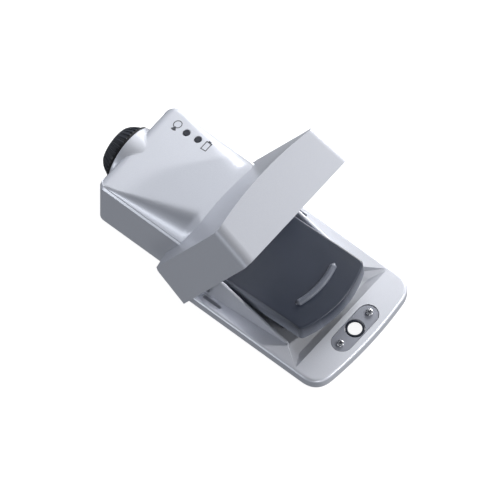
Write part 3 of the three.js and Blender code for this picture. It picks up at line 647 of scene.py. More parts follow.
def housingSection(y, inset, grow):
    # from the foot of a wall over the ridge, its raised bead and the shoulder to the flat roof
    c = casting
    half = c["housingHalf"] - inset + grow
    top = roofZ(y) - inset * 0.5 + grow
    flat = flatHalf(y) - inset + grow
    ridge = Vector((half, c["ridge"] - inset * 0.5 + grow))
    bottom = c["underside"] - (4 if grow else 0)
    slope = (Vector((flat, top)) - ridge).normalized()
    away = Vector((slope.y, -slope.x))
    inner = ridge + slope * c["bead"]
    foot = inner + slope * 0.4 - away * c["beadStep"]
    share = min(max((y - c["foldFrom"]) / (c["foldTo"] - c["foldFrom"]), 0), 1)
    fold = mix(c["foldFront"], c["foldRear"], share)
    side = [(half, bottom, 0), (*ridge, 1.4), (*inner, 0.4), (*foot, 0.3)]
    side += [(min(flat, foot.x - 1.2), top - c["beadStep"], fold), (0, top - c["beadStep"], 0)]
    right = roundedLine(side)
    return right + [(-x, z) for x, z in right[-2::-1]]


def spread(line, splits):
    # the same line with each stretch cut into its number of equal parts
    made = []
    for (x0, z0), (x1, z1), count in zip(line, line[1:], splits):
        made += [(mix(x0, x1, i / count), mix(z0, z1, i / count)) for i in range(count)]
    return made + [line[-1]]


def housingSolid(name, grow=0.0, cell=2.5):
    rear, front = casting["housingRear"] + grow, casting["housingFront"] - grow
    soft = casting["rearRound"]
    spans = 44
    stations = [(mix(front, rear - soft, i / spans), 0.0) for i in range(spans + 1)]
    for i in range(1, 9):
        angle = math.pi / 2 * i / 8
        stations.append((rear - soft + soft * math.sin(angle), soft * (1 - math.cos(angle))))
    lines = [housingSection(y, inset, grow) for y, inset in stations]
    steps = [[math.dist(a, b) for a, b in zip(line, line[1:])] for line in lines]
    splits = [math.ceil(max(lengths) / cell) for lengths in zip(*steps)]
    shape = bmesh.new()
    rings = []
    for (y, inset), line in zip(stations, lines):
        rings.append([shape.verts.new(spot(x, y, z)) for x, z in spread(line, splits)])
    skin(shape, rings)
    return fromShape(name, shape)


def basinCutter():
    c = casting
    above = c["platformTop"] + 1
    points = []
    for side in (-1, 1):
        lowFront = (side * c["trenchHalf"], c["basinFloorFront"], c["basinFloor"])
        lowRear = (side * c["trenchHalf"], c["finTip"], c["basinFloor"])
        rimFront = (side * c["basinRim"], c["basinFront"], c["platformTop"])
        rimRear = (side * (c["trenchHalf"] + 2.1), c["finTip"], c["platformTop"])
        points += [lowFront, lowRear]
        for low, rim in ((lowFront, rimFront), (lowRear, rimRear)):
            share = (above - low[2]) / (rim[2] - low[2])
            points.append([mix(p, q, share) for p, q in zip(low, rim)])
    return hullPiece("basin", points)


def cheek(side):
    c = casting
    rear = c["housingFront"] + 2
    low = c["platformTop"] - 3
    rise = c["finSlope"] * (rear - c["finTip"])
    inner = side * (c["trenchHalf"] - 0.03)
    crest = side * (c["trenchHalf"] + c["finTop"])
    foot = side * (c["trenchHalf"] + c["finFoot"])
    top = c["platformTop"]
    tip = c["finTip"]
    points = [(inner, tip, low), (crest, tip, low), (inner, tip, top), (crest, tip, top)]
    points += [(inner, rear, low), (foot, rear, low), (foot, rear, top)]
    points += [(crest, rear, top + rise), (inner, rear, top + rise)]
    piece = hullPiece("cheek", points)
    return soften(piece, 0.7, 3)


def bossWeb():
    # a web that carries the line of the roof down onto the boss
    c = casting
    start, end = c["webStart"], c["webEnd"]
    reach = c["bossRadius"] - 0.08
    across, along = 48, 16
    shape = bmesh.new()
    rows = []
    for i in range(across + 1):
        s = 2 * i / across - 1
        angle = math.radians(c["webArc"]) * s
        x0, z0 = c["webHalf"] * s, roofZ(start) - c["beadStep"] - 0.15
        x1, z1 = reach * math.sin(angle), c["batteryZ"] + reach * math.cos(angle)
        row = []
        for k in range(along + 1):
            t = k / along
            ease = t * t * (3 - 2 * t)
            run = -c["roofFall"] * (end - start) * t * (1 - t) ** 2
            row.append((mix(x0, x1, ease), mix(start, end, t), mix(z0, z1, ease) + run))
        rows.append(row)
    top = [[shape.verts.new(spot(*point)) for point in row] for row in rows]
    low = [[shape.verts.new(spot(x * 0.9, y, c["batteryZ"])) for x, y, z in row] for row in rows]
    for i in range(across):
        for k in range(along):
            shape.faces.new([top[i][k], top[i][k + 1], top[i + 1][k + 1], top[i + 1][k]])
            shape.faces.new([low[i][k], low[i + 1][k], low[i + 1][k + 1], low[i][k + 1]])
        for k in (0, along):
            shape.faces.new([top[i][k], top[i + 1][k], low[i + 1][k], low[i][k]])
    for k in range(along):
        for i in (0, across):
            shape.faces.new([top[i][k], top[i][k + 1], low[i][k + 1], low[i][k]])
    return fromShape("web", shape)


def slotCutter(x):
    c = casting
    low, high, radius = c["slotFrom"] + c["slotRadius"], c["slotTo"] - c["slotRadius"], c["slotRadius"]
    outline = []
    for middle, start in ((high, 0), (low, math.pi)):
        outline += arcPoints(x, middle, radius, start, math.pi, 12)
    return prismPiece("slot", outline, -1, c["platformTop"] + 1)


def cavityCutter():
    c = casting
    front, rear = c["housingFront"] + c["wall"], c["housingRear"] - c["wall"]
    half = c["housingHalf"] - c["wall"] - 1.2
    points = []
    for side in (-1, 1):
        for y, flat in ((front, flatHalf(front) - 3.6), (rear, flatHalf(rear) - 4.4)):
            points += [(side * half, y, 0), (side * half, y, c["ridge"] - 4)]
            points.append((side * flat, y, roofZ(y) - c["wall"] - 0.4))
    return hullPiece("cavity", points)


def roofPoint(x, along, up):
    # a place on the roof: across, along it to the rear, and up from its face
    tilt = math.atan(casting["roofFall"])
    y = casting["roofY"] + along * math.cos(tilt) + up * math.sin(tilt)
    z = casting["roofZ"] - along * math.sin(tilt) + up * math.cos(tilt)
    return (x, y, z)


def onRoof(x, along):
    return lambda a, b, h: roofPoint(x + a, along + b, h)


def stadium(half, radius, y, steps=16):
    reach = half - radius
    outline = []
    for middle, start in ((reach, -math.pi / 2), (-reach, math.pi / 2)):
        outline += arcPoints(middle, y, radius, start, math.pi, steps)
    return outline


windows = {"x": 30.5, "radius": 3.2, "radio": 65.3, "battery": 53.7}
eye = {
    "y": 14.8,
    "half": 23.8,
    "radius": 8.5,
    "recess": 1.5,
    "thick": 1.0,
    "hole": 7.8,
    "gap": 0.3,
    "inner": 5.6,
    "ringFoot": 8.3,
    "ringTop": 10.8,
    "screwX": 17.4,
    "screwHole": 1.8,
    "pocket": 12.5,
    "pocketTop": 8,
}
pivot = {"y": 122, "z": 20, "tilt": 5.6}


def bodyCasting():
    c = casting
    body = prismPiece("bodyCasting", platformOutline(), c["underside"], c["platformTop"])
    top = c["platformTop"] - 0.01
    body = soften(body, c["topRound"], 5, lambda a, b: a.z > top and b.z > top)
    body = cut(body, basinCutter())
    body = soften(body, 0.7, 3, lambda a, b: isRim(a) and isRim(b) and (a - b).length > 1)
    half = c["trenchHalf"]
    deep = (c["basinFloorFront"], c["housingFront"])
    trench = blockPiece("trench", (-half, half), deep, (c["basinFloor"], 20))
    body = cut(body, trench)
    end, radius = c["bossEnd"], c["bossRadius"]
    profile = [(0, c["bossStart"]), (radius, c["bossStart"]), (radius, end - 1.2)]
    profile += [(radius - 0.35, end - 0.35), (radius - 1.2, end), (0, end)]
    boss = turnedPiece("boss", profile, rearward(0, c["batteryZ"]), 128)
    body = unite(body, housingSolid("housing"), boss, bossWeb(), cheek(-1), cheek(1))
    holes = [cavityCutter()]
    holes.append(rod("bore", rearward(0, c["batteryZ"]), c["bore"], c["boreStart"], 260, 100))
    holes += [slotCutter(side * c["slotX"]) for side in (-1, 1)]
    for along in (windows["radio"], windows["battery"]):
        holes.append(rod("window", onRoof(windows["x"], along), windows["radius"], -8, 4))
    holes.append(rod("pinHole", sideways(pivot["y"], pivot["z"]), c["pinHole"], -60, 60, 32))
    recess = stadium(eye["half"] + eye["gap"], eye["radius"] + eye["gap"], eye["y"])
    holes.append(prismPiece("recess", recess, c["platformTop"] - eye["recess"], c["platformTop"] + 3))
    holes.append(rod("eyeHole", upright(0, eye["y"]), eye["hole"], -1, 20, 64))
    holes.append(rod("pocket", upright(0, eye["y"]), eye["pocket"], -1, eye["pocketTop"], 64))
    body = cut(body, *holes)
    return finishSurface(body)


def isRim(point):
    c = casting
    inSpan = c["basinFront"] - 0.5 < point.y < c["finTip"] + 2
    return abs(point.z - c["platformTop"]) < 0.01 and abs(point.x) < c["basinRim"] + 0.5 and inSpan


hand(bodyCasting(), "base", "silver_paint", "body_casting")
print("body casting made")


# the guard over the pedal

hood = {
    "heelY": 162.4,
    "heelZ": 19.8,
    "lean": 25.25,
    "height": 143,
    "depth": 35.3,
    "toe": -3.7,
    "backHalf": 60,
    "frontHalf": 62.5,
    "bulge": 5.5,
    "fall": 0.6,
    "corner": 9.0,
    "wall": 3,
    "heelCut": 3,
}


def hoodPoint(x, up, fore):
    lean = math.radians(hood["lean"])
    y = hood["heelY"] - math.sin(lean) * up - math.cos(lean) * fore
    z = hood["heelZ"] + math.cos(lean) * up - math.sin(lean) * fore
    return (x, y, z)


def archTop(fore, lower):
    share = (fore + hood["bulge"]) / (hood["depth"] + hood["bulge"])
    return hood["height"] - hood["fall"] * share - lower


def arch(half, bottom, radius, lower, foreAt):
    cornerSteps, topSteps = 10, 32
    points = []
    for side in (-1, 1):
        points.append(hoodPoint(side * half, bottom, foreAt(half)))
        for i in range(cornerSteps + 1):
            angle = math.pi / 2 * i / cornerSteps
            x = half - radius + radius * math.cos(angle)
            up = archTop(foreAt(x), lower) - radius + radius * math.sin(angle)
            points.append(hoodPoint(side * x, up, foreAt(x)))
    for i in range(1, topSteps):
        x = (half - radius) * (2 * i / topSteps - 1)
        points.append(hoodPoint(x, archTop(foreAt(x), lower), foreAt(x)))
        points.append(hoodPoint(x, bottom, foreAt(x)))
    return points


def backFore(x):
    return -hood["bulge"] * (1 - (x / hood["backHalf"]) ** 2)


def hoodShell():
    h = hood
    outer = arch(h["backHalf"], h["heelCut"], h["corner"], 0, backFore)
    outer += arch(h["backHalf"], -0.4, h["corner"], 0, lambda x: h["heelCut"])
    outer += arch(h["frontHalf"], h["toe"], h["corner"], 0, lambda x: h["depth"])
    shell = soften(hullPiece("hoodShell", outer), 1.3, 4, angle=24)
    wall = h["wall"]
    inner = arch(h["backHalf"] - wall, -30, h["corner"] - wall, wall, lambda x: backFore(x) + wall)
    wide = h["frontHalf"] - wall + 0.2
    inner += arch(wide, -30, h["corner"] - wall, wall, lambda x: h["depth"] + 2)
    shell = cut(shell, hullPiece("inside", inner))
    flanges = []
    for side in (-1, 1):
        xs = sorted((side * 51, side * (h["frontHalf"] - 2.2)))
        flanges.append(blockPiece("flange", xs, (129.5, 147.5), (11.3, 14.3)))
    shell = unite(shell, *flanges)
    shell = cut(shell, housingSolid("opening", 0.15))
    return finishSurface(shell, 30)


hand(hoodShell(), "base", "silver_paint", "hood")
print("hood made")


# the pedal

pedal = {
    "half": 38,
    "rear": 7,
    "noseRadius": 86.4,
    "nose": -94.4,
    "top": 9.2,
    "skirt": 15,
    "skin": 3,
    "edge": 1.6,
    "foldY": -70,
    "foldFall": 3.0,
    "ear": 6,
    "earInner": 30,
    "bush": 4.3,
}
grip = {"radius": 65.4, "half": 23.0, "width": 5.8, "height": 2.6, "buried": 0.4, "taper": 3.0}


def tilted(x, y, z):
    # the pedal is drawn flat about its pin, then stands tilted up at the front
    angle = math.radians(pivot["tilt"])
    across = y * math.cos(angle) + z * math.sin(angle)
    up = -y * math.sin(angle) + z * math.cos(angle)
    return (x, pivot["y"] + across, pivot["z"] + up)


def acrossPedal(a, b, h):
    return tilted(h, a, b)


def pedalOutline(inset):
    p = pedal
    half, radius = p["half"] - inset, p["noseRadius"] - inset
    centre = p["nose"] + p["noseRadius"]
    reach = half - 2.5
    sweep = math.asin(reach / radius)
    cornerY = centre - math.sqrt(radius ** 2 - half ** 2)
    noseY = centre - radius * math.cos(sweep)
    points = [(half, p["rear"] - inset), (-half, p["rear"] - inset), (-half, cornerY + 3)]
    points += quadratic((-half, cornerY + 3), (-half, cornerY), (-reach, noseY), 8)
    for i in range(1, 40):
        angle = -math.pi / 2 - sweep + 2 * sweep * i / 40
        points.append((radius * math.cos(angle), centre + radius * math.sin(angle)))
    points += [(reach, noseY)] + quadratic((reach, noseY), (half, cornerY), (half, cornerY + 3), 8)
    return points


def pedalShell():
    p = pedal
    low = p["top"] - p["skirt"]
    shell = prismPiece("pedalShell", pedalOutline(0), low, p["top"], tilted)
    topSide = Vector(tilted(0, 0, p["top"])) - Vector(tilted(0, 0, 0))
    base = Vector(tilted(0, 0, 0))
    fall = math.tan(math.radians(p["foldFall"])) * 40
    level = p["top"] - fall - 0.4

    def isTop(point):
        return (point - base).dot(topSide.normalized()) > level

    def isFold(a, b):
        return abs(a.y - b.y) < 0.01 and abs(a.x - b.x) > 60 and a.y < 100

    wedge = [(-60, p["foldY"]), (60, p["foldY"]), (60, p["foldY"] - 40), (-60, p["foldY"] - 40)]
    slopes = [(x, y, p["top"] - (fall if y < p["foldY"] else 0)) for x, y in wedge]
    above = [(x, y, p["top"] + 5) for x, y in wedge]
    shell = cut(shell, hullPiece("fall", [tilted(*point) for point in slopes + above]))
    shell = soften(shell, p["edge"], 5, lambda a, b: isTop(a) and isTop(b) and not isFold(a, b))
    inside = prismPiece("inside", pedalOutline(2.5), low - 1, p["top"] - p["skin"], tilted)
    shell = cut(shell, inside)
    ears = []
    for side in (-1, 1):
        xs = sorted((side * p["earInner"], side * (p["half"] - 1)))
        ears.append(rod("ear", acrossPedal, p["ear"], *xs))
        ends = [(x, y) for x, y in ((xs[0], -6), (xs[1], -6), (xs[1], 6), (xs[0], 6))]
        ears.append(prismPiece("earBlock", ends, 0, p["top"] - 1, tilted))
    shell = unite(shell, *ears)
    return finishSurface(cut(shell, rod("hole", acrossPedal, p["bush"], -60, 60)))


hand(pedalShell(), "pedal", "pedal_plastic", "pedal")
print("pedal made")


# geometry nodes: one tree for copies on places, one for coils, one for the grip rib
def makeTree(name, sizes):
    tree = bpy.data.node_groups.new(name, "GeometryNodeTree")
    face = tree.interface
    face.new_socket("Geometry", in_out="INPUT", socket_type="NodeSocketGeometry")
    for label, kind in sizes.items():
        face.new_socket(label, in_out="INPUT", socket_type="NodeSocket" + kind)
    face.new_socket("Geometry", in_out="OUTPUT", socket_type="NodeSocketGeometry")
    return tree, tree.nodes.new("NodeGroupInput").outputs


def closeTree(tree, shape, material):
    solid = addNode(tree, "GeometryNodeRealizeInstances", {"Geometry": shape})
    values = {"Geometry": solid.outputs["Geometry"], "Material": material}
    painted = addNode(tree, "GeometryNodeSetMaterial", values)
    tree.links.new(painted.outputs["Geometry"], tree.nodes.new("NodeGroupOutput").inputs[0])
    return tree


def copiesTree():
    # a copy of a source piece on every point, turned about its own axis by a step or by chance
    sizes = {"Source": "Object", "Step": "Vector", "Chance": "Vector", "Turn": "Vector", "Seed": "Int"}
    tree, given = makeTree("copies on places", {**sizes, "Material": "Material"})
    source = addNode(tree, "GeometryNodeObjectInfo", {"Object": given["Source"]})
    index = addNode(tree, "GeometryNodeInputIndex").outputs["Index"]
    stepped = addNode(tree, "ShaderNodeVectorMath", {0: given["Step"], "Scale": index}, operation="SCALE")
    values = {"Seed": given["Seed"], "Max": given["Chance"]}
    chance = addNode(tree, "FunctionNodeRandomValue", values, data_type="FLOAT_VECTOR")
    values = {0: stepped.outputs[0], 1: chance.outputs["Value"]}
    spin = addNode(tree, "ShaderNodeVectorMath", values, operation="ADD")
    own = addNode(tree, "FunctionNodeEulerToRotation", {"Euler": spin.outputs[0]})
    lean = addNode(tree, "FunctionNodeEulerToRotation", {"Euler": given["Turn"]})
    values = {"Rotation": lean.outputs[0], "Rotate By": own.outputs[0]}
    both = addNode(tree, "FunctionNodeRotateRotation", values, rotation_space="LOCAL")
    values = {"Points": given["Geometry"], "Instance": source.outputs["Geometry"]}
    values["Rotation"] = both.outputs["Rotation"]
    copies = addNode(tree, "GeometryNodeInstanceOnPoints", values)
    return closeTree(tree, copies.outputs["Instances"], given["Material"])


def coilTree():
    # a coil spring of round wire that stands on every point
    sizes = {"Turns": "Float", "Radius": "Float", "Wire": "Float", "Height": "Float", "Turn": "Rotation"}
    tree, given = makeTree("coil springs", {**sizes, "Material": "Material"})
    values = {"Resolution": 48, "Rotations": given["Turns"], "Height": given["Height"]}
    values.update({"Start Radius": given["Radius"], "End Radius": given["Radius"]})
    line = addNode(tree, "GeometryNodeCurveSpiral", values)
    section = addNode(tree, "GeometryNodeCurvePrimitiveCircle", {"Resolution": 12, "Radius": given["Wire"]})
    values = {"Curve": line.outputs["Curve"], "Profile Curve": section.outputs["Curve"], "Fill Caps": True}
    wire = addNode(tree, "GeometryNodeCurveToMesh", values)
    values = {"Points": given["Geometry"], "Instance": wire.outputs["Mesh"], "Rotation": given["Turn"]}
    coils = addNode(tree, "GeometryNodeInstanceOnPoints", values)
    return closeTree(tree, coils.outputs["Instances"], given["Material"])


def ribTree():
    # a rounded rib along an arc, which thins and sinks towards its ends
    sizes = {"Radius": "Float", "Sweep": "Float", "Width": "Float", "Height": "Float", "Taper": "Float"}
    tree, given = makeTree("grip rib", {**sizes, "Material": "Material"})
    values = {"Resolution": 96, "Radius": given["Radius"], "Sweep Angle": given["Sweep"]}
    arc = addNode(tree, "GeometryNodeCurveArc", values, mode="RADIUS")
    along = addNode(tree, "GeometryNodeSplineParameter").outputs["Length"]
    full = addNode(tree, "GeometryNodeSplineLength").outputs["Length"]
    left = addNode(tree, "ShaderNodeMath", {0: full, 1: along}, operation="SUBTRACT").outputs[0]
    near = addNode(tree, "ShaderNodeMath", {0: along, 1: left}, operation="MINIMUM").outputs[0]
    values = {0: near, 1: given["Taper"]}
    share = addNode(tree, "ShaderNodeMath", values, operation="DIVIDE", use_clamp=True).outputs[0]
    values = {"Value": share, "To Min": 0.3}
    rise = addNode(tree, "ShaderNodeMapRange", values, interpolation_type="SMOOTHSTEP")
    values = {"Curve": arc.outputs["Curve"], "Radius": rise.outputs["Result"]}
    thinned = addNode(tree, "GeometryNodeSetCurveRadius", values)
    size = addNode(tree, "ShaderNodeCombineXYZ", {"X": given["Width"], "Y": given["Height"], "Z": 1.0})
    section = addNode(tree, "GeometryNodeCurvePrimitiveCircle", {"Resolution": 32, "Radius": 1.0})
    values = {"Geometry": section.outputs["Curve"], "Scale": size.outputs[0]}
    oval = addNode(tree, "GeometryNodeTransform", values)
    values = {"Curve": thinned.outputs["Curve"], "Profile Curve": oval.outputs["Geometry"], "Fill Caps": True}
    values["Scale"] = rise.outputs["Result"]
    made = addNode(tree, "GeometryNodeCurveToMesh", values)
    return closeTree(tree, made.outputs["Mesh"], given["Material"])


trees = {"copies": copiesTree(), "coil": coilTree(), "rib": ribTree()}


def grown(piece, tree, **sizes):
    # runs a tree on the piece and keeps the plain mesh
    step = piece.modifiers.new("grow", "NODES")
    step.node_group = tree
    named = {i.name: i.identifier for i in tree.interface.items_tree if i.in_out == "INPUT"}
    for label, value in sizes.items():
        step[named[label]] = value
    return applyModifiers(piece)


def placesPiece(name, places):
    mesh = bpy.data.meshes.new(name)
    mesh.from_pydata([tuple(place) for place in places], [], [])
    return newPiece(name, mesh)


def drop(piece):
    mesh = piece.data
    bpy.data.objects.remove(piece)
    bpy.data.meshes.remove(mesh)


# the raised grip rib across the pedal
def gripRib():
    g = grip
    sweep = 2 * math.asin(g["half"] / g["radius"])
    piece = grown(
        placesPiece("gripRib", [(0, 0, 0)]), trees["rib"], Radius=g["radius"] * mm, Sweep=sweep,
        Width=g["width"] / 2 * mm, Height=(g["height"] + g["buried"]) * mm, Taper=g["taper"] * mm,
        Material=finishes["grip"],
    )
    centre = pedal["nose"] + pedal["noseRadius"]
    for vertex in piece.data.vertices:
        x, y, z = vertex.co / mm
        angle = math.atan2(y, x) - sweep / 2 - math.pi / 2
        reach = math.hypot(x, y)
        flat = (reach * math.cos(angle), centre + reach * math.sin(angle))
        vertex.co = spot(*tilted(*flat, pedal["top"] - g["buried"] + z))
    return finishSurface(piece, 50)


# the rib wears the copy of the pedal plastic with the wider painted highlight
hand(gripRib(), "pedal", "pedal_plastic", finish=finishes["grip"])
print("grip rib made")


# screws: one turned and socketed screw for each kind, copied onto its places
screwKinds = {
    # name: head radius, head height, shank radius, shank length, turn, start of the nodes' names
    "eyeScrews": (3.0, 2.1, 1.5, 7, 0, "eye_screw_"),
    "hoodScrews": (3.2, 2.2, 1.7, 9, 0, "hood_screw_"),
    "plateScrews": (2.8, 1.2, 1.4, 10, math.pi, "plate_screw_"),
    "boardScrews": (2.0, 1.4, 0.9, 5, math.pi, "board_screw_"),
    "switchScrews": (2.4, 1.8, 1.2, 5.5, 0, "switch_screw_"),
}


def panScrew(head, rise, shank, length):
    # a domed head with a hexagon socket, and ring grooves below it for the thread
    profile = [(0, -length), (shank * 0.7, -length), (shank, 0.6 - length)]
    grooves = int((length - 1.4) / 0.5)
    for i in range(grooves):
        low = 0.7 - length + i * 0.5
        profile += [(shank, low), (shank * 0.86, low + 0.25)]
    profile += [(shank, -0.3), (shank, 0), (head - 0.15, 0), (head, 0.15), (head, rise * 0.45)]
    for i in range(1, 6):
        angle = math.pi / 2 * i / 5
        across = mix(head, head * 0.62, 1 - math.cos(angle))
        profile.append((across, rise * 0.45 + rise * 0.55 * math.sin(angle)))
    profile.append((0, rise))
    middle = lambda a, b, h: (a, b - frontY / mm, h)
    screw = turnedPiece("screw", profile, middle, 40)
    reach = min(head * 0.5, shank * 0.92)
    corners = []
    for i in range(6):
        angle = math.pi / 3 * i
        corners.append((reach * math.cos(angle), reach * math.sin(angle) - frontY / mm))
    screw = cut(screw, prismPiece("socket", corners, -1.2, rise + 1))
    return finishSurface(screw, 35)


for name, (head, rise, shank, length, flip, prefix) in screwKinds.items():
    nodes = sorted(n for n in frame["nodes"] if n.startswith(prefix))
    places, tilt = [], 0
    for node in nodes:
        low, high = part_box(node)
        middle = (low + high) / 2
        if prefix == "board_screw_":
            tilt = -math.atan(casting["roofFall"])
            down = Vector((0, math.sin(tilt), -math.cos(tilt)))
            middle -= down * (rise - length) / 2 * mm
        elif flip:
            middle.z = low.z + rise * mm
        else:
            middle.z = high.z - rise * mm
        places.append(middle)
    source = panScrew(head, rise, shank, length)
    piece = grown(
        placesPiece(name, places), trees["copies"], Source=source, Turn=(flip + tilt, 0, 0),
        Chance=(0, 0, math.pi), Seed=7, Material=finishes["bright_steel"],
    )
    drop(source)
    hand(piece, "base", "bright_steel", *nodes)
print("screws made")


# springs: the two that lift the pedal, and the one behind the battery
returnSprings = {"x": 22, "y": 74, "foot": 4.6, "top": 30.4, "radius": 5, "wire": 0.8, "turns": 6.0}
batterySpring = {"from": 168.05, "to": 170.45, "radius": 6, "wire": 0.4, "turns": 1.5}


def coilPiece(name, sizes, low, high, places, turn, material):
    wire = sizes["wire"]
    return grown(
        placesPiece(name, places), trees["coil"], Turns=sizes["turns"], Radius=sizes["radius"] * mm,
        Wire=wire * mm, Height=(high - low - 2 * wire) * mm, Turn=turn, Material=material,
    )


def returnCoils():
    s = returnSprings
    places = [spot(side * s["x"], s["y"], s["foot"] + s["wire"]) for side in (-1, 1)]
    piece = coilPiece("returnSprings", s, s["foot"], s["top"], places, (0, 0, 0), finishes["spring_steel"])
    finishSurface(piece, 50)
    hand(piece, "base", "spring_steel", "return_spring_left", "return_spring_right")
    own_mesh(piece)


def batteryCoil():
    s = batterySpring
    place = spot(0, s["from"] + s["wire"], casting["batteryZ"])
    turn = (-math.pi / 2, 0, 0)
    piece = coilPiece("batterySpring", s, s["from"], s["to"], [place], turn, finishes["contact_brass"])
    finishSurface(piece, 50)
    hand(piece, "base", "contact_brass", "battery_spring")


returnCoils()
batteryCoil()
print("springs made")


# the battery cap, its ribs and its coin slot
cap = {
    "front": 239.4,
    "straight": 241.6,
    "radius": 21.35,
    "shoulder": (17.7, 248.2),
    "face": (15.6, 250),
    "spigot": 20.3,
    "spigotStart": 230,
    "spigotInner": 17.8,
    "ribs": 32,
    "ribRise": 0.85,
    "ribHalf": 1.05,
    "coinHalf": 12,
    "coinWide": 3,
    "coinDeep": 2.5,
}


def capBody():
    c = cap
    radius, front, straight = c["radius"], c["front"], c["straight"]
    (shoulder, shoulderY), (face, end) = c["shoulder"], c["face"]
    start, inner, spigot = c["spigotStart"], c["spigotInner"], c["spigot"]
    profile = [(0, front + 2), (inner, front + 2), (inner, start), (spigot - 0.4, start)]
    profile += [(spigot, start + 0.4), (spigot, front), (radius - 0.2, front), (radius, front + 0.2)]
    profile += [(radius, straight - 0.6), (mix(radius, shoulder, 0.1), mix(straight, shoulderY, 0.1))]
    profile += [(shoulder + 0.3, shoulderY - 0.6), (shoulder, shoulderY), (shoulder - 0.5, shoulderY + 0.6)]
    profile += [(face + 0.8, end - 0.45), (face, end - 0.12), (face - 0.8, end), (0, end)]
    body = turnedPiece("batteryCap", profile, rearward(0, casting["batteryZ"]), 160)
    half, wide = c["coinHalf"], c["coinWide"] / 2
    z = casting["batteryZ"]
    coin = blockPiece("coin", (-half, half), (end - c["coinDeep"], end + 2), (z - wide, z + wide))
    coin = soften(coin, 1.4, 5, lambda a, b: abs(a.y - b.y) > 1)
    return finishSurface(cut(body, coin))


def capRib():
    # one rib, drawn about the cap's axis; it runs down the flank and dies out at the shoulder
    c = cap
    rise = c["ribRise"]
    line = [(c["radius"] - 0.2, c["front"] + 0.1, 0.7), (c["radius"] + rise * 0.8, c["front"] + 0.35, 0.9)]
    line += [(c["radius"] + rise, c["front"] + 0.8, 1.0), (c["radius"] + rise, c["straight"] - 0.2, 1.0)]
    line += [(mix(c["radius"], c["shoulder"][0], 0.5) + rise, mix(c["straight"], c["shoulder"][1], 0.5), 0.9)]
    line += [(c["shoulder"][0] + rise * 0.6, c["shoulder"][1] - 0.2, 0.75)]
    line += [(c["shoulder"][0] - 0.4, c["shoulder"][1] + 0.4, 0.55)]
    shape = bmesh.new()
    rings = []
    for radius, y, width in line:
        half = c["ribHalf"] * width
        section = [(-half, -1.6), (-half, -rise)]
        for i in range(7):
            angle = math.pi * (1 - i / 6)
            section.append((half * 0.86 * math.cos(angle), -0.45 + 0.45 * math.sin(angle)))
        section += [(half, -rise), (half, -1.6)]
        at = [Vector((x, y, 0)) * mm + Vector((0, 0, radius + h)) * mm for x, h in section]
        rings.append([shape.verts.new(point) for point in at])
    skin(shape, rings)
    return finishSurface(fromShape("rib", shape), 40)


def capRibs():
    source = capRib()
    centre = Vector((0, frontY, casting["batteryZ"] * mm))
    piece = grown(
        placesPiece("capRibs", [centre] * cap["ribs"]), trees["copies"], Source=source,
        Step=(0, 2 * math.pi / cap["ribs"], 0), Material=finishes["black_plastic"],
    )
    drop(source)
    return piece


hand(capBody(), "cap", "black_plastic", "battery_cap")
hand(capRibs(), "cap", "black_plastic")
print("battery cap made")


# the hanging eye: its plate and its black ring
def eyePlate():
    e = eye
    seat = casting["platformTop"] - e["recess"]
    plate = prismPiece("eyePlate", stadium(e["half"], e["radius"], e["y"], 32), seat, seat + e["thick"])
    holes = [rod("hole", upright(0, e["y"]), e["hole"], 0, 20, 96)]
    holes += [rod("hole", upright(side * e["screwX"], e["y"]), e["screwHole"], 0, 20) for side in (-1, 1)]
    plate = cut(plate, *holes)
    return finishSurface(soften(plate, 0.25, 3, angle=40), 40)


def eyeRing():
    e = eye
    outer, inner = e["hole"] - e["gap"], e["inner"]
    foot, top = e["ringFoot"], e["ringTop"]
    profile = [(inner + 1.3, foot), (outer, foot), (outer, top - 0.5)]
    for i in range(1, 7):
        angle = math.pi / 2 * i / 6
        profile.append((outer - 0.5 + 0.5 * math.cos(angle), top - 0.5 + 0.5 * math.sin(angle)))
    for i in range(7):
        angle = math.pi / 2 * (1 + i / 6)
        profile.append((inner + 0.6 + 0.6 * math.cos(angle), top - 0.6 + 0.6 * math.sin(angle)))
    profile += [(inner, top - 0.9), (inner + 1.3, foot)]
    return finishSurface(turnedPiece("eyeRing", profile, upright(0, e["y"]), 96), 40)


hand(eyePlate(), "base", "grey_plate", "eye_plate")
hand(eyeRing(), "base", "black_plastic", "eye_ring")
print("hanging eye made")


# printed signs beside the two windows: a radio ring with a wedge, and a cell's outline
signs = {
    "lift": 0.05,
    "line": 0.75,
    "ringX": 32.9,
    "ringAlong": 76.2,
    "ring": 3.7,
    "cellX": 29.0,
    "cellAlong": 44.2,
    "cellLong": 4.2,
    "cellHalf": 2.8,
}


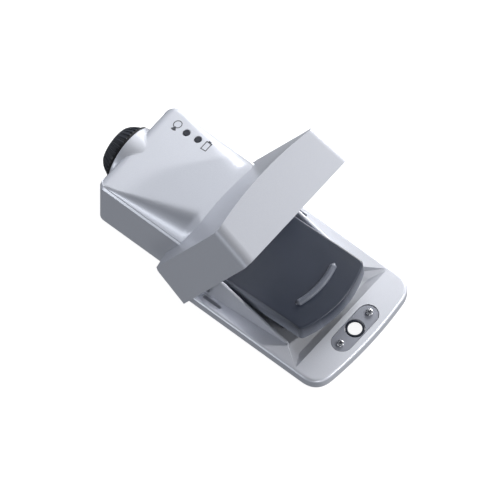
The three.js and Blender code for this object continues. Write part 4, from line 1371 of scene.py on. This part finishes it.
def signSlab(name, outline, deeper=0.0):
    low = -casting["beadStep"] - 0.03
    high = signs["lift"] - casting["beadStep"]
    return prismPiece(name, outline, low - deeper, high + deeper, roofPoint)


def circle(x, y, radius, steps=48):
    return arcPoints(x, y, radius, 0, 2 * math.pi, steps)[:-1]


def radioSign():
    s = signs
    x, y, radius = s["ringX"], s["ringAlong"], s["ring"]
    inside = signSlab("inside", circle(x, y, radius - s["line"]), 1)
    ring = cut(signSlab("radioSign", circle(x, y, radius)), inside)
    fan = [(x - radius + 1.6, y)]
    for i in range(9):
        angle = math.radians(145 + 70 * i / 8)
        fan.append((x - radius + 1.6 + 4.2 * math.cos(angle), y + 4.2 * math.sin(angle)))
    return finishSurface(unite(ring, signSlab("fan", fan)))


def cellSign():
    s = signs
    x, y, long, half, line = s["cellX"], s["cellAlong"], s["cellLong"], s["cellHalf"], s["line"]

    def bar(x0, x1, y0, y1):
        return [(x0, y0), (x1, y0), (x1, y1), (x0, y1)]

    outline = signSlab("cellSign", bar(x - long, x + long, y - half, y + half))
    inside = bar(x - long + line, x + long - line, y - half + line, y + half - line)
    outline = cut(outline, signSlab("inside", inside, 1))
    terminal = bar(x + long - 0.1, x + long + 0.9, y - half * 0.45, y + half * 0.45)
    return finishSurface(unite(outline, signSlab("terminal", terminal)))


hand(radioSign(), "base", "silver_paint", finish=signInk)
hand(cellSign(), "base", "silver_paint", finish=signInk)
print("signs made")


# every other piece keeps its working shape, with softened edges
def refined(node):
    piece = merged(newPiece(node + "_fine", frame["nodes"][node].data.copy()))
    shape = bmesh.new()
    shape.from_mesh(piece.data)
    flat = math.radians(0.5)
    bmesh.ops.dissolve_limit(shape, angle_limit=flat, verts=shape.verts, edges=shape.edges)
    shape.to_mesh(piece.data)
    shape.free()
    finishSurface(soften(piece, 0.2, 2, angle=35), 35)
    return hand(piece, bodyOf[node], slotOf[node], node)


done = {"body_casting", "hood", "pedal", "battery_cap", "eye_plate", "eye_ring", "battery_spring"}
done |= {"return_spring_left", "return_spring_right"}
for node in sorted(frame["nodes"]):
    if node not in done and "_screw_" not in node:
        refined(node)
print("inner pieces refined")


low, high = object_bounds()
